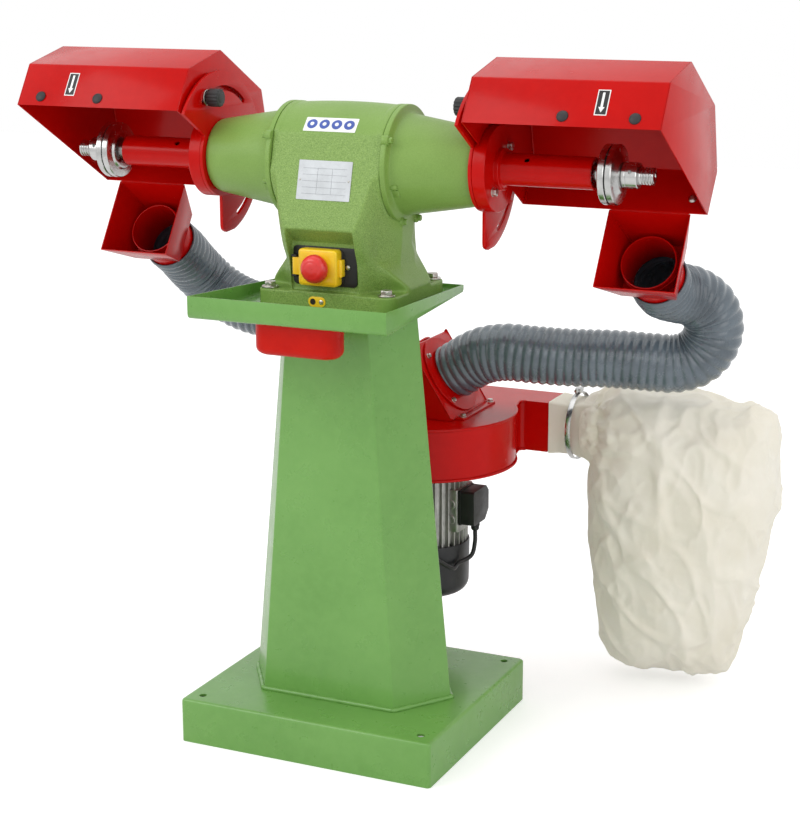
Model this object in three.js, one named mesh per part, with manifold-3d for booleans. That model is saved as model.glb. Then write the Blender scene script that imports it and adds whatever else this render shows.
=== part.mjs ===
// Double-ended pedestal polishing machine with two swivelling hoods, an extraction fan and a dust bag.
// Millimetres, +Z up, X along the spindle, the operator stands at -Y. The group's origin is on the floor,
// under the middle of the rigid machine.
import * as THREE from "three";
import { mergeVertices } from "three/addons/utils/BufferGeometryUtils.js";
import Module from "manifold-3d";

const wasm = await Module();
wasm.setup();

// Clearances and working values
const gap = 0.3;
const overrun = 5;
const weldStep = 0.01;

// Pedestal base, a folded sheet box that is open below
const baseWidth = 500;
const baseDepth = 451;
const baseHeight = 83;
const baseSheet = 4;
const baseCorner = 6;
const anchorHole = 14;
const anchorInset = 30;

// Column, a six-sided tapered tube
const columnY = -18;
const columnHeight = 712;
const columnSheet = 4;
const columnFrontFoot = 132;
const columnMiddleFoot = 201;
const columnDepthFoot = 103;
const columnFrontTop = 79;
const columnMiddleTop = 132.5;
const columnDepthTop = 90;
const columnBead = 6;
const topPlate = 10;
const columnTop = baseHeight + columnHeight;
const footBottom = columnTop + topPlate;

// Tray and water pot
const trayHalfWidth = 188;
const trayBackHalfWidth = 162;
const trayFront = -264;
const trayBack = 121;
const trayDrop = 2;
const trayFrontHeight = 40;
const trayBackHeight = 12.5;
const trayRise = 10.5;
const traySheet = 2;
const trayCorner = 9;
const trayFrontBottom = footBottom - trayDrop;
const trayBackBottom = trayFrontBottom + trayRise;
const trayRim = trayFrontBottom + trayFrontHeight;
const trayBackRim = trayBackBottom + trayBackHeight;
const potHalfWidth = 79.5;
const potFront = -238;
const potBack = -182;
const potDrop = 60;
const potBottom = footBottom - potDrop;
const potSheet = 1.5;
const potCorner = 24;
const potBottomRound = 14;
const potFlange = 7;

// Motor housing, a casting on four foot bolts: the front's middle, the foot's middle and the spindle's axis
// lie a little apart
const machineY = -20;
const footY = -6.5;
const spindleY = -12.5;
const footHalfWidth = 133;
const footHalfDepth = 116;
const footHeight = 33;
const footCorner = 22;
const footTop = footBottom + footHeight;
const spindleRise = 217.4;
const spindleHeight = footTop + spindleRise;
const barrelHalfLength = 95;
const barrelRadius = 101;
const barrelCrown = 3.5;
const seamRadius = 103;
const seamWidth = 10;
const motorBore = 82.3;
const castingWall = 10;
const hollowShare = 0.88;
const heelShare = 0.72;
const browRise = 53.6;
const browHeight = spindleHeight + browRise;
const browDepth = 77.8;
const chinDepth = 118;
const recessDepth = 90;
const boltAcross = 113;
const boltAlong = 97.5;
const boltSize = 12;
const boltHead = 19;
const boltHeadHeight = 8;
const washerSize = 31;
const washerThickness = 3;

// End bells
const bellBigRadius = 87;
const bellSmallRadius = 64.5;
const bellEnd = 255;
const bellWall = 8;
const bellHub = 27;
const bellLug = 6;
const bellLugShares = [0.17, 0.453, 0.547, 0.83];

// Adjuster plates and knobs
const plateThickness = 6;
const plateAside = -7.5;
const plateUp = 2.6;
const plateRadius = 148;
const plateFrontAngle = -57;
const plateTipAngle = 163;
const plateTipRound = 12;
const slotRadius = 119.5;
const slotWidth = 9.4;
const slotStart = -33.8;
const slotEnd = 40;
const earSlotRadius = 120;
const earSlotStart = 126;
const earSlotEnd = 156;
const knobAngle = -26.8;
const knobRadius = 16;
const knobLength = 23;
const knobNeck = 9;
const knobFlutes = 10;
const studSize = 8;
const knobWasherSize = 28;
const knobWasherThickness = 2;

// Spindle, tubes and wheel flanges
const flangeRadius = 74;
const flangeThickness = 23.4;
const flangeBoltCircle = 50;
const flangeBolt = 8;
const flangeBoltShares = [0.125, 0.625];
const tubeRadius = 27.5;
const tubeBore = 23.8;
const tubeEnd = 455;
const tubeCollar = 36;
const tubeCollarLength = 9;
const tubeHole = 10;
const tubeHoleAt = 340;
const tubeHoleLean = 45;
const shaftRadius = 15;
const rotorSeat = 20;
const shaftTip = 557;
const threadPitch = 6;
const threadDepth = 2.2;
const threadTurns = 4;
const wheelFlangeRadius = 50.5;
const wheelFlangeThickness = 12;
const wheelFlangeStart = 472;
const wheelFlangeSpace = 1.5;
const wheelHubLength = 6;
const nutRadius = 22;
const nutEnd = 531;
const nutHole = 6.5;
const rotorRadius = 47;
const coreHalfLength = 60;
const windingLength = 26;
const bearingWidth = 16;
const innerBearingRadius = 31;
const outerBearingRadius = 23.5;
const outerBearingWidth = 12;

// Hoods and chutes, given as [y, z] beside the spindle axis
const hoodOuter = 606;
const hoodStandoff = 6.7;
const hoodSheet = 2;
const hoodProfile = [
  [-132.5, 88.6],
  [-89.5, 159.1],
  [20.5, 185.6],
  [169.5, 104.6],
  [199.5, -11.4],
  [149.5, -79.4],
];
const chuteInner = 429;
const chuteOuter = 576;
const chuteSheet = 2;
const chuteTop = [149.5, -79.9];
const chuteBottom = [71.5, -204.4];
const chuteLength = 88;
const stubRadius = 50;
const stubSheet = 2;
const stubStart = 62;
const stubEnd = 135;

// Hoses, which push over the stubs and the collars
const hoseRadius = 54.8;
const hoseBore = 51;
const hoseWall = 0.8;
const hoseRib = 2.6;
const hosePitch = 16;
const hoseOverlap = 22;
const hoseCollarOverlap = 34;
// Points of each route, drawn between these two ends; they shift along when the ends do
const hoseRoutes = {
  right: {
    start: [502.5, 193.8, 853.3],
    end: [77.4, 272, 625.7],
    points: [
      [514, 276, 812], [537, 309, 801], [558, 333, 778], [567, 346, 745], [559, 350, 709], [535, 347, 680],
      [500, 339, 667], [460, 330, 667], [420, 321, 669], [380, 313, 670], [340, 306, 669], [300, 297, 669],
      [262, 289, 670], [224, 281, 672], [186, 275, 673], [148, 272, 666],
    ],
  },
  left: {
    start: [-502.5, 193.8, 853.3],
    end: [-29.4, 272, 625.7],
    points: [
      [-504, 258, 811], [-505, 295, 784], [-487, 323, 751], [-452, 334, 724], [-408, 336, 707],
      [-362, 336, 699], [-316, 335, 692], [-271, 327, 684], [-228, 313, 677], [-185, 297, 673],
      [-141, 281, 670], [-96, 273, 661],
    ],
  },
};

// Switch on the front recess
const switchAcross = -4;
const switchPlateHalfWidth = 61.5;
const switchPlateHalfHeight = 34;
const switchPlateThickness = 2;
const recessMargin = 3;
const recessSill = 1;
const recessBelow = 11;
const recessAbove = 7;
const chinAbove = 25;
const recessHalfWidth = switchPlateHalfWidth + recessMargin;
const recessBottom = footTop + recessSill;
const switchHeight = recessBottom + recessBelow + switchPlateHalfHeight;
const recessTop = switchHeight + switchPlateHalfHeight + recessAbove;
const chinHeight = recessTop + chinAbove;
const switchPlateCorner = 8;
const frameHalfWidth = 28;
const frameHalfHeight = 24;
const frameFrontDepth = 8;
const frameBackDepth = 34;
const flapHalfWidth = 37;
const flapHalfHeight = 32;
const flapStandoff = 3;
const flapDepth = 18;
const latchReach = 6.5;
const flapWall = 2.5;
const flapCorner = 6;
const hingeAcross = 49;
const hingeBarrel = 4.5;
const hingePin = 2;
const hingeHalfHeight = 15;
const earThickness = 4;
const mushroomRadius = 25;
const mushroomHeight = 20;
const mushroomStem = 11;
const mushroomTravel = 4;
const rodRadius = 7.2;
const buttonRadius = 8;
const buttonStand = 3;
const buttonLength = 14;
const wellDepth = 20;
const startAcross = 19;

// Fan, its inlet box and its outlet
const fanX = 24;
const fanY = 272;
const scrollDrop = 245;
const scrollTop = columnTop - scrollDrop;
const scrollHeight = 100;
const scrollSheet = 2;
const scrollRim = 4;
const scrollStartRadius = 170;
const scrollGrowth = 47;
const scrollTongue = 33;
const outletBack = 493;
const outletFront = 402;
const outletEnd = 224;
const spigotStart = 250;
const spigotEnd = 306;
const spigotRadius = 61;
const throatRadius = 62;
const inletHalfWidth = 90;
const inletHeight = 140;
const inletHalfLength = 88;
const inletSheet = 2;
const inletFoot = 16;
const collarRadius = 78;
const collarThickness = 4;
const collarLength = 44;
const impellerRadius = 135;
const impellerHub = 20;
const bladeCount = 10;
const bladeHeight = 58;
const bladeThickness = 3;
const bladeLean = 38;
const impellerClearance = 12;

// Fan motor, below the scroll
const motorRadius = 72;
const motorFlangeRadius = 88;
const motorFlangeThickness = 10;
const motorBodyLength = 174;
const motorFinDepth = 8;
const motorFinCount = 16;
const motorWall = 7;
const motorShaftRadius = 10;
const cowlLength = 96;
const cowlRound = 24;
const cowlSheet = 2;
const cowlRadius = motorRadius + motorFinDepth + 4 * gap + cowlSheet;
const blockHalfDepth = 38;
const blockEnd = 82;
const blockLow = 50;
const blockHigh = 134;
const lidDepth = 32;
const lidHalfDepth = 38;
const lidHeight = 68;
const lidChamfer = 18;
const glandRadius = 8;
const glandLength = 15;
const cableRadius = 4.2;
const cableRoute = {
  start: [128.7, 264.4, 316.1],
  end: [43.45, 89, 317],
  points: [
    [128.7, 264.4, 292], [124.7, 256.4, 266], [106.7, 234.4, 254], [108, 205, 252], [88, 165, 280],
    [64, 128, 300], [45.45, 111, 315],
  ],
};

// Fan bracket between the column and the scroll
const bracketHalfWidth = 55;
const bracketSheet = 5;
const bracketReach = 95;
const bracketHeight = 70;

// Dust bag and its clamp
const clampRadius = 66;
const clampAt = 269;
const clampBand = 1.5;
const clampWidth = 9;
const clampWorm = 13;
const neckStart = 226.5;
const bagCloth = 4;
const bagBottom = 32;
const bagRise = 29;
const bagTop = scrollTop + bagRise;
const bagReach = 196;
const bagMiddle = 487;
const bagDepth = 122;
// Each level: share of the height, shift of the middle, half the width and half the depth, as shares
const bagShares = [
  [0.0, 0.1, 0.45, 0.42],
  [0.09, -0.07, 0.76, 0.76],
  [0.21, -0.056, 0.865, 0.89],
  [0.42, -0.026, 0.935, 0.97],
  [0.65, 0.0, 1.0, 1.0],
  [0.86, 0.01, 0.98, 0.94],
  [0.965, -0.005, 0.91, 0.74],
  [1.0, -0.015, 0.76, 0.46],
];

// Facet counts
const roundSides = 20;
const barrelSides = 24;
const smallSides = 10;
const boltSides = 6;
const arcSteps = 5;
const spiralSteps = 24;
const plateSteps = 26;
const hoseSides = 8;
const cableSides = 6;
const cableSteps = 22;
const bagSides = 14;

const radians = THREE.MathUtils.degToRad;

function material(color, roughness, metalness = 0) {
  return new THREE.MeshStandardMaterial({ color, roughness, metalness });
}

const green = material(0x6fa04c, 0.4);
const castingGreen = material(0x86a659, 0.5);
const red = material(0xbe1914, 0.3);
const steel = material(0xb8b8b4, 0.25, 1);
const black = material(0x1a1a1a, 0.5);
const yellow = material(0xf0c020, 0.4);
const switchRed = material(0xc82828, 0.4);
const buttonGreen = material(0x2e8b3a, 0.4);
const aluminium = material(0x9a9c97, 0.5, 0.7);
const castIron = material(0x5a5a58, 0.7, 0.6);
const hoseGrey = material(0x6b7578, 0.5);
const cotton = material(0xe0dac6, 0.95);

// A closed geometry as a solid for joining and cutting, its faces turned outwards.
function toSolid(geometry) {
  const bare = geometry.index ? geometry.toNonIndexed() : geometry.clone();
  for (const name of Object.keys(bare.attributes)) {
    if (name !== "position") bare.deleteAttribute(name);
  }
  const merged = mergeVertices(bare, weldStep / 2);
  const triVerts = new Uint32Array(merged.index.array);
  const vertProperties = new Float32Array(merged.attributes.position.array);
  const build = () => new wasm.Manifold(new wasm.Mesh({ numProp: 3, vertProperties, triVerts }));
  const solid = build();
  if (solid.volume() >= 0) return solid;
  for (let i = 0; i < triVerts.length; i += 3) {
    [triVerts[i + 1], triVerts[i + 2]] = [triVerts[i + 2], triVerts[i + 1]];
  }
  return build();
}

function toGeometry(solid) {
  const mesh = solid.getMesh();
  const geometry = new THREE.BufferGeometry();
  geometry.setAttribute("position", new THREE.BufferAttribute(new Float32Array(mesh.vertProperties), 3));
  geometry.setIndex(new THREE.BufferAttribute(new Uint32Array(mesh.triVerts), 1));
  return geometry;
}

function join(...solids) {
  return solids.reduce((whole, piece) => whole.add(piece));
}

function cut(solid, ...tools) {
  return tools.reduce((rest, tool) => rest.subtract(tool), solid);
}

// Solids from boxes, outlines, profiles and rings
function box(x0, x1, y0, y1, z0, z1) {
  const geometry = new THREE.BoxGeometry(x1 - x0, y1 - y0, z1 - z0);
  geometry.translate((x0 + x1) / 2, (y0 + y1) / 2, (z0 + z1) / 2);
  return toSolid(geometry);
}

function extruded(points, length, holes = []) {
  const shape = new THREE.Shape(points.map(([u, v]) => new THREE.Vector2(u, v)));
  for (const hole of holes) {
    shape.holes.push(new THREE.Path(hole.map(([u, v]) => new THREE.Vector2(u, v))));
  }
  return new THREE.ExtrudeGeometry(shape, { depth: length, bevelEnabled: false });
}

const axisX = new THREE.Vector3(1, 0, 0);
const axisY = new THREE.Vector3(0, 1, 0);
const axisZ = new THREE.Vector3(0, 0, 1);

// An outline of [y, z] points, run from x0 to x1
function prismX(points, x0, x1, holes) {
  const geometry = extruded(points, x1 - x0, holes);
  geometry.applyMatrix4(new THREE.Matrix4().makeBasis(axisY, axisZ, axisX));
  geometry.translate(x0, 0, 0);
  return toSolid(geometry);
}

// An outline of [x, z] points, run from y0 to y1
function prismY(points, y0, y1, holes) {
  const geometry = extruded(points, y1 - y0, holes);
  geometry.applyMatrix4(new THREE.Matrix4().makeBasis(axisX, axisZ, axisY.clone().negate()));
  geometry.translate(0, y1, 0);
  return toSolid(geometry);
}

// An outline of [x, y] points, run from z0 to z1
function prismZ(points, z0, z1, holes) {
  const geometry = extruded(points, z1 - z0, holes);
  geometry.translate(0, 0, z0);
  return toSolid(geometry);
}

function latheGeometry(profile, sides) {
  return new THREE.LatheGeometry(profile.map(([r, h]) => new THREE.Vector2(r, h)), sides);
}

// Profiles of [radius, place along the axis], turned about an axis through a point
function turnedX(profile, y, z, sides = roundSides) {
  const geometry = latheGeometry(profile, sides);
  geometry.rotateZ(-Math.PI / 2);
  geometry.translate(0, y, z);
  return toSolid(geometry);
}

function turnedY(profile, x, z, sides = roundSides) {
  const geometry = latheGeometry(profile, sides);
  geometry.translate(x, 0, z);
  return toSolid(geometry);
}

function turnedZ(profile, x, y, sides = roundSides) {
  const geometry = latheGeometry(profile, sides);
  geometry.rotateX(Math.PI / 2);
  geometry.translate(x, y, 0);
  return toSolid(geometry);
}

function discProfile(radius, from, to) {
  return [[0, from], [radius, from], [radius, to], [0, to]];
}

function ringProfile(inner, outer, from, to) {
  return [[inner, from], [outer, from], [outer, to], [inner, to], [inner, from]];
}

function discX(radius, x0, x1, y, z, sides) {
  return turnedX(discProfile(radius, x0, x1), y, z, sides);
}

function discY(radius, y0, y1, x, z, sides) {
  return turnedY(discProfile(radius, y0, y1), x, z, sides);
}

function discZ(radius, z0, z1, x, y, sides) {
  return turnedZ(discProfile(radius, z0, z1), x, y, sides);
}

// Rings of equal point counts, joined one to the next, with a fan at each end
function loft(rings) {
  const count = rings[0].length;
  const positions = [];
  for (const ring of rings) {
    for (const point of ring) positions.push(...point);
  }
  const middle = (ring) => [0, 1, 2].map((k) => ring.reduce((sum, p) => sum + p[k], 0) / ring.length);
  positions.push(...middle(rings[0]), ...middle(rings[rings.length - 1]));
  const first = rings.length * count;
  const last = first + 1;
  const index = [];
  for (let r = 0; r + 1 < rings.length; r++) {
    for (let i = 0; i < count; i++) {
      const j = (i + 1) % count;
      const a = r * count + i;
      const b = r * count + j;
      index.push(a, b, b + count, a, b + count, a + count);
    }
  }
  const top = (rings.length - 1) * count;
  for (let i = 0; i < count; i++) {
    const j = (i + 1) % count;
    index.push(first, j, i);
    index.push(last, top + i, top + j);
  }
  return toSolid(indexed(positions, index));
}

function indexed(positions, index) {
  const geometry = new THREE.BufferGeometry();
  geometry.setAttribute("position", new THREE.Float32BufferAttribute(positions, 3));
  geometry.setIndex(index);
  return geometry;
}

function arc(cx, cy, radius, fromDegrees, toDegrees, steps = arcSteps) {
  const points = [];
  for (let i = 0; i <= steps; i++) {
    const a = radians(fromDegrees + ((toDegrees - fromDegrees) * i) / steps);
    points.push([cx + radius * Math.cos(a), cy + radius * Math.sin(a)]);
  }
  return points;
}

function circle(cx, cy, radius, sides = smallSides) {
  return arc(cx, cy, radius, 0, 360 - 360 / sides, sides - 1);
}

// A rectangle with rounded corners, counterclockwise from its right side
function roundedRect(halfX, halfY, radius, steps = 3) {
  const x = halfX - radius;
  const y = halfY - radius;
  return [
    ...arc(x, y, radius, 0, 90, steps),
    ...arc(-x, y, radius, 90, 180, steps),
    ...arc(-x, -y, radius, 180, 270, steps),
    ...arc(x, -y, radius, 270, 360, steps),
  ];
}

function moved(points, dx, dy) {
  return points.map(([x, y]) => [x + dx, y + dy]);
}

// A polygon drawn in by a distance, each side parallel to the old one; counterclockwise polygons shrink
function inset(points, distance) {
  const count = points.length;
  const sides = points.map(([x, y], i) => {
    const [x2, y2] = points[(i + 1) % count];
    const length = Math.hypot(x2 - x, y2 - y);
    const normal = [-(y2 - y) / length, (x2 - x) / length];
    return { normal, offset: normal[0] * x + normal[1] * y + distance };
  });
  return sides.map((next, i) => {
    const before = sides[(i + count - 1) % count];
    const det = before.normal[0] * next.normal[1] - before.normal[1] * next.normal[0];
    return [
      (before.offset * next.normal[1] - next.offset * before.normal[1]) / det,
      (before.normal[0] * next.offset - next.normal[0] * before.offset) / det,
    ];
  });
}

// A polygon whose corners are rounded with the given radii
function rounded(points, radii, steps = 3) {
  const count = points.length;
  const out = [];
  points.forEach(([x, y], i) => {
    const radius = Array.isArray(radii) ? radii[i] : radii;
    const [px, py] = points[(i + count - 1) % count];
    const [nx, ny] = points[(i + 1) % count];
    if (!radius) {
      out.push([x, y]);
      return;
    }
    const a = new THREE.Vector2(px - x, py - y).normalize();
    const b = new THREE.Vector2(nx - x, ny - y).normalize();
    const half = Math.acos(THREE.MathUtils.clamp(a.dot(b), -1, 1)) / 2;
    const reach = radius / Math.tan(half);
    const centre = a.clone().add(b).normalize().multiplyScalar(radius / Math.sin(half));
    const start = a.multiplyScalar(reach).sub(centre);
    const end = b.multiplyScalar(reach).sub(centre);
    let from = Math.atan2(start.y, start.x);
    let to = Math.atan2(end.y, end.x);
    if (to - from > Math.PI) from += 2 * Math.PI;
    if (from - to > Math.PI) to += 2 * Math.PI;
    for (let k = 0; k <= steps; k++) {
      const t = from + ((to - from) * k) / steps;
      out.push([x + centre.x + radius * Math.cos(t), y + centre.y + radius * Math.sin(t)]);
    }
  });
  return out;
}

// A point of the hood or the adjuster plate, from its angle back from straight up, about the spindle axis
function aboutSpindle(angle, radius) {
  const a = radians(angle);
  return [spindleY + radius * Math.sin(a), spindleHeight + radius * Math.cos(a)];
}

// The radius of a polygonal hole that a round shaft turns in
function clearOf(radius, sides = roundSides) {
  return (radius + gap) / Math.cos(Math.PI / sides);
}

// The scene graph: one group for the middle, and one for each side, the left one mirrored
const machine = new THREE.Group();
const sides = { left: new THREE.Group(), right: new THREE.Group() };
sides.left.scale.x = -1;
machine.add(sides.left, sides.right);

function piece(parent, name, solid, surface) {
  const mesh = new THREE.Mesh(toGeometry(solid), surface);
  mesh.name = name;
  parent.add(mesh);
  return mesh;
}

function pieceOnBothSides(name, solid, surface) {
  for (const side of Object.keys(sides)) piece(sides[side], side + "_" + name, solid, surface);
}

// Pedestal

function pedestalBase() {
  const ring = (drawnIn, z) =>
    roundedRect(baseWidth / 2 - drawnIn, baseDepth / 2 - drawnIn, baseCorner).map(([x, y]) => [x, y, z]);
  const fold = baseCorner / 2;
  const skin = loft([ring(0, 0), ring(0, baseHeight - fold), ring(fold, baseHeight)]);
  const hollow = box(
    -baseWidth / 2 + baseSheet, baseWidth / 2 - baseSheet,
    -baseDepth / 2 + baseSheet, baseDepth / 2 - baseSheet,
    -overrun, baseHeight - baseSheet,
  );
  const holes = [];
  for (const sx of [-1, 1]) {
    for (const sy of [-1, 1]) {
      const x = sx * (baseWidth / 2 - anchorInset);
      const y = sy * (baseDepth / 2 - anchorInset);
      const low = baseHeight - baseSheet - overrun;
      holes.push(discZ(anchorHole / 2, low, baseHeight + overrun, x, y, smallSides));
    }
  }
  return cut(skin, hollow, ...holes);
}

function columnRing(z, share, drawnIn) {
  const front = THREE.MathUtils.lerp(columnFrontFoot, columnFrontTop, share) - drawnIn;
  const middle = THREE.MathUtils.lerp(columnMiddleFoot, columnMiddleTop, share) - drawnIn;
  const depth = THREE.MathUtils.lerp(columnDepthFoot, columnDepthTop, share) - drawnIn;
  return [
    [front, -depth], [middle, 0], [front, depth], [-front, depth], [-middle, 0], [-front, -depth],
  ].map(([x, y]) => [x, columnY + y, z]);
}

function columnShare(z) {
  return (z - baseHeight) / (columnTop - baseHeight);
}

function column() {
  const skin = loft([columnRing(baseHeight, 0, 0), columnRing(columnTop, 1, 0)]);
  const beadTop = baseHeight + columnBead;
  const bead = loft([columnRing(baseHeight, 0, -columnBead), columnRing(beadTop, columnShare(beadTop), 0)]);
  const low = baseHeight - overrun;
  const high = columnTop + overrun;
  const hollow = loft([
    columnRing(low, columnShare(low), columnSheet),
    columnRing(high, columnShare(high), columnSheet),
  ]);
  const grommet = discY(
    glandRadius + gap, columnBackAt(cableEntry.z) - overrun * 3, fanY, cableEntry.x, cableEntry.z, smallSides,
  );
  return cut(join(skin, bead), hollow, grommet);
}

function columnBackAt(z) {
  return columnY + THREE.MathUtils.lerp(columnDepthFoot, columnDepthTop, columnShare(z));
}

function boltPlaces() {
  return [
    ["front_left", -1, -1], ["front_right", 1, -1], ["back_left", -1, 1], ["back_right", 1, 1],
  ].map(([name, sx, sy]) => [name, sx * boltAcross, footY + sy * boltAlong]);
}

function columnTopPlate() {
  const outline = moved(roundedRect(footHalfWidth - gap, footHalfDepth - gap, footCorner), 0, footY);
  const window = moved(roundedRect(columnFrontTop / 2, columnDepthTop / 2, footCorner), 0, machineY);
  const holes = boltPlaces().map(([, x, y]) => circle(x, y, boltSize / 2 + 3 * gap, smallSides));
  return prismZ(outline, columnTop, footBottom, [window, ...holes]);
}

// Tray and pot

function trayFloorAt(y) {
  const share = (y - trayFront) / (trayBack - trayFront);
  return THREE.MathUtils.lerp(trayFrontBottom, trayBackBottom, share);
}

// The tray narrows towards its back
function trayPlan() {
  return [
    [-trayHalfWidth, trayFront], [trayHalfWidth, trayFront], [trayBackHalfWidth, trayBack],
    [-trayBackHalfWidth, trayBack],
  ];
}

function tray() {
  const outline = [
    [trayFront, trayFrontBottom], [trayBack, trayBackBottom], [trayBack, trayBackRim], [trayFront, trayRim],
  ];
  const low = trayFrontBottom - overrun;
  const high = trayRim + trayFrontHeight;
  const folds = [trayCorner, trayCorner, 0, 0];
  const skin = prismX(rounded(outline, folds), -trayHalfWidth, trayHalfWidth);
  const raised = inset(outline, traySheet).map(([y, z], i) => (i > 1 ? [y, z + trayFrontHeight] : [y, z]));
  const innerFolds = folds.map((radius) => Math.max(0, radius - traySheet));
  const hollow = prismX(rounded(raised, innerFolds), -trayHalfWidth, trayHalfWidth);
  const footHole = prismZ(
    moved(roundedRect(footHalfWidth + gap, footHalfDepth + gap, footCorner + gap), 0, footY),
    low, high,
  );
  const potMiddle = (potFront + potBack) / 2;
  const potHalf = (potBack - potFront) / 2;
  const potEdge = roundedRect(potHalfWidth + gap, potHalf + gap, potCorner + gap);
  const potHole = prismZ(moved(potEdge, 0, potMiddle), low, high);
  const body = skin.intersect(prismZ(trayPlan(), low, high));
  const room = hollow.intersect(prismZ(inset(trayPlan(), traySheet), low, high));
  return cut(body, room, footHole, potHole);
}

function waterPot() {
  const middleY = (potFront + potBack) / 2;
  const halfDepth = (potBack - potFront) / 2;
  const slopeHere = (trayBackBottom - trayFrontBottom) / (trayBack - trayFront);
  const seat = trayFloorAt(middleY) + traySheet + gap * 2;
  const ring = (drawnIn, z, slope = 0) =>
    roundedRect(potHalfWidth - drawnIn, halfDepth - drawnIn, potCorner - drawnIn / 2).map(([x, y]) => [
      x, middleY + y, z + slope * y,
    ]);
  const round = potBottomRound;
  return loft([
    ring(round, potBottom),
    ring(round / 3, potBottom + round / 3),
    ring(0, potBottom + round),
    ring(0, seat, slopeHere),
    ring(-potFlange, seat, slopeHere),
    ring(-potFlange, seat + potSheet, slopeHere),
    ring(potSheet, seat + potSheet, slopeHere),
    ring(potSheet, potBottom + round),
    ring(round / 3 + potSheet, potBottom + round / 3 + potSheet),
    ring(round + potSheet, potBottom + potSheet),
  ]);
}

// Motor housing

// Trunk sections as shares of the foot's half sizes, from the foot's top up to the spindle axis. Each is the
// height's share, the shift of the middle, then across and along for the front's edge, two points of the cove
// round the bolt, the corner and the side's edge.
const trunkShares = [
  [0.0, 0.0, 0.474, 0.996, 0.575, 0.638, 0.699, 0.491, 1.0, 0.435, 1.0, 0.216],
  [0.044, 0.0, 0.47, 1.004, 0.586, 0.664, 0.729, 0.517, 1.0, 0.435, 1.0, 0.216],
  [0.106, 0.0, 0.462, 1.017, 0.594, 0.724, 0.737, 0.586, 0.913, 0.513, 0.913, 0.241],
  [0.189, 0.0, 0.451, 1.034, 0.594, 0.802, 0.677, 0.69, 0.774, 0.599, 0.827, 0.259],
  [0.271, 0.0, 0.444, 1.047, 0.579, 0.888, 0.632, 0.784, 0.662, 0.655, 0.82, 0.259],
  [0.368, -0.065, 0.466, 1.017, 0.571, 0.931, 0.632, 0.819, 0.662, 0.603, 0.835, 0.19],
  [0.515, -0.116, 0.504, 1.017, 0.602, 0.914, 0.654, 0.802, 0.692, 0.655, 0.87, 0.216],
  [0.745, -0.116, 0.609, 0.931, 0.677, 0.845, 0.722, 0.759, 0.759, 0.672, 0.842, 0.237],
  [1.0, -0.116, 0.729, 0.802, 0.744, 0.741, 0.756, 0.681, 0.767, 0.612, 0.797, 0.259],
];

// A ring of the trunk at a height, drawn in by a scale; the front right quarter is mirrored to the others
function trunkRing([, shift, ...shares], z, scale) {
  const quarter = [];
  for (let i = 0; i < shares.length; i += 2) {
    quarter.push([shares[i] * footHalfWidth * scale, -shares[i + 1] * footHalfDepth * scale]);
  }
  const right = [...quarter, ...quarter.map(([x, y]) => [x, -y]).reverse()];
  const left = right.map(([x, y]) => [-x, y]).reverse();
  const middle = footY + shift * footHalfDepth;
  return [...right, ...left].map(([x, y]) => [x, middle + y, z]);
}

function trunk() {
  return loft(trunkShares.map((row) => trunkRing(row, footTop + row[0] * spindleRise, 1)));
}

// The hollow under the motor, open to the column below
function trunkHollow() {
  const rows = trunkShares.filter(([share]) => footTop + share * spindleRise < chinHeight + castingWall / 2);
  const [foot, ...above] = rows;
  const rings = above.map((row) => trunkRing(row, footTop + row[0] * spindleRise, hollowShare));
  const heel = [footBottom - overrun, footTop].map((z) => trunkRing(foot, z, heelShare));
  const wall = machineY - recessDepth + castingWall;
  const front = wall - footHalfDepth;
  return cut(
    loft([...heel, ...rings]),
    box(-footHalfWidth, footHalfWidth, front, wall, footBottom - footHeight, spindleHeight),
  );
}

// What lies in front of the leaning flat face, between its brow and its chin
function faceTrim() {
  const lean = (chinDepth - browDepth) / (browHeight - chinHeight);
  const top = browHeight + footHeight;
  const high = machineY - browDepth + lean * (top - browHeight);
  const chin = machineY - chinDepth;
  const front = chin - footHalfDepth;
  const outline = [[front, chinHeight], [chin, chinHeight], [high, top], [front, top]];
  return prismX(outline, -footHalfWidth, footHalfWidth);
}

function barrel() {
  const stations = 6;
  const rings = [];
  for (let i = 0; i <= stations; i++) {
    const share = (2 * i) / stations - 1;
    const x = share * barrelHalfLength;
    const crown = barrelCrown * (1 - share * share);
    rings.push(
      circle(0, 0, 1, barrelSides).map(([c, s]) => {
        const radius = barrelRadius + crown * Math.max(0, s) ** 4;
        return [x, spindleY + radius * c, spindleHeight + radius * s];
      }),
    );
  }
  return loft(rings);
}

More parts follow.
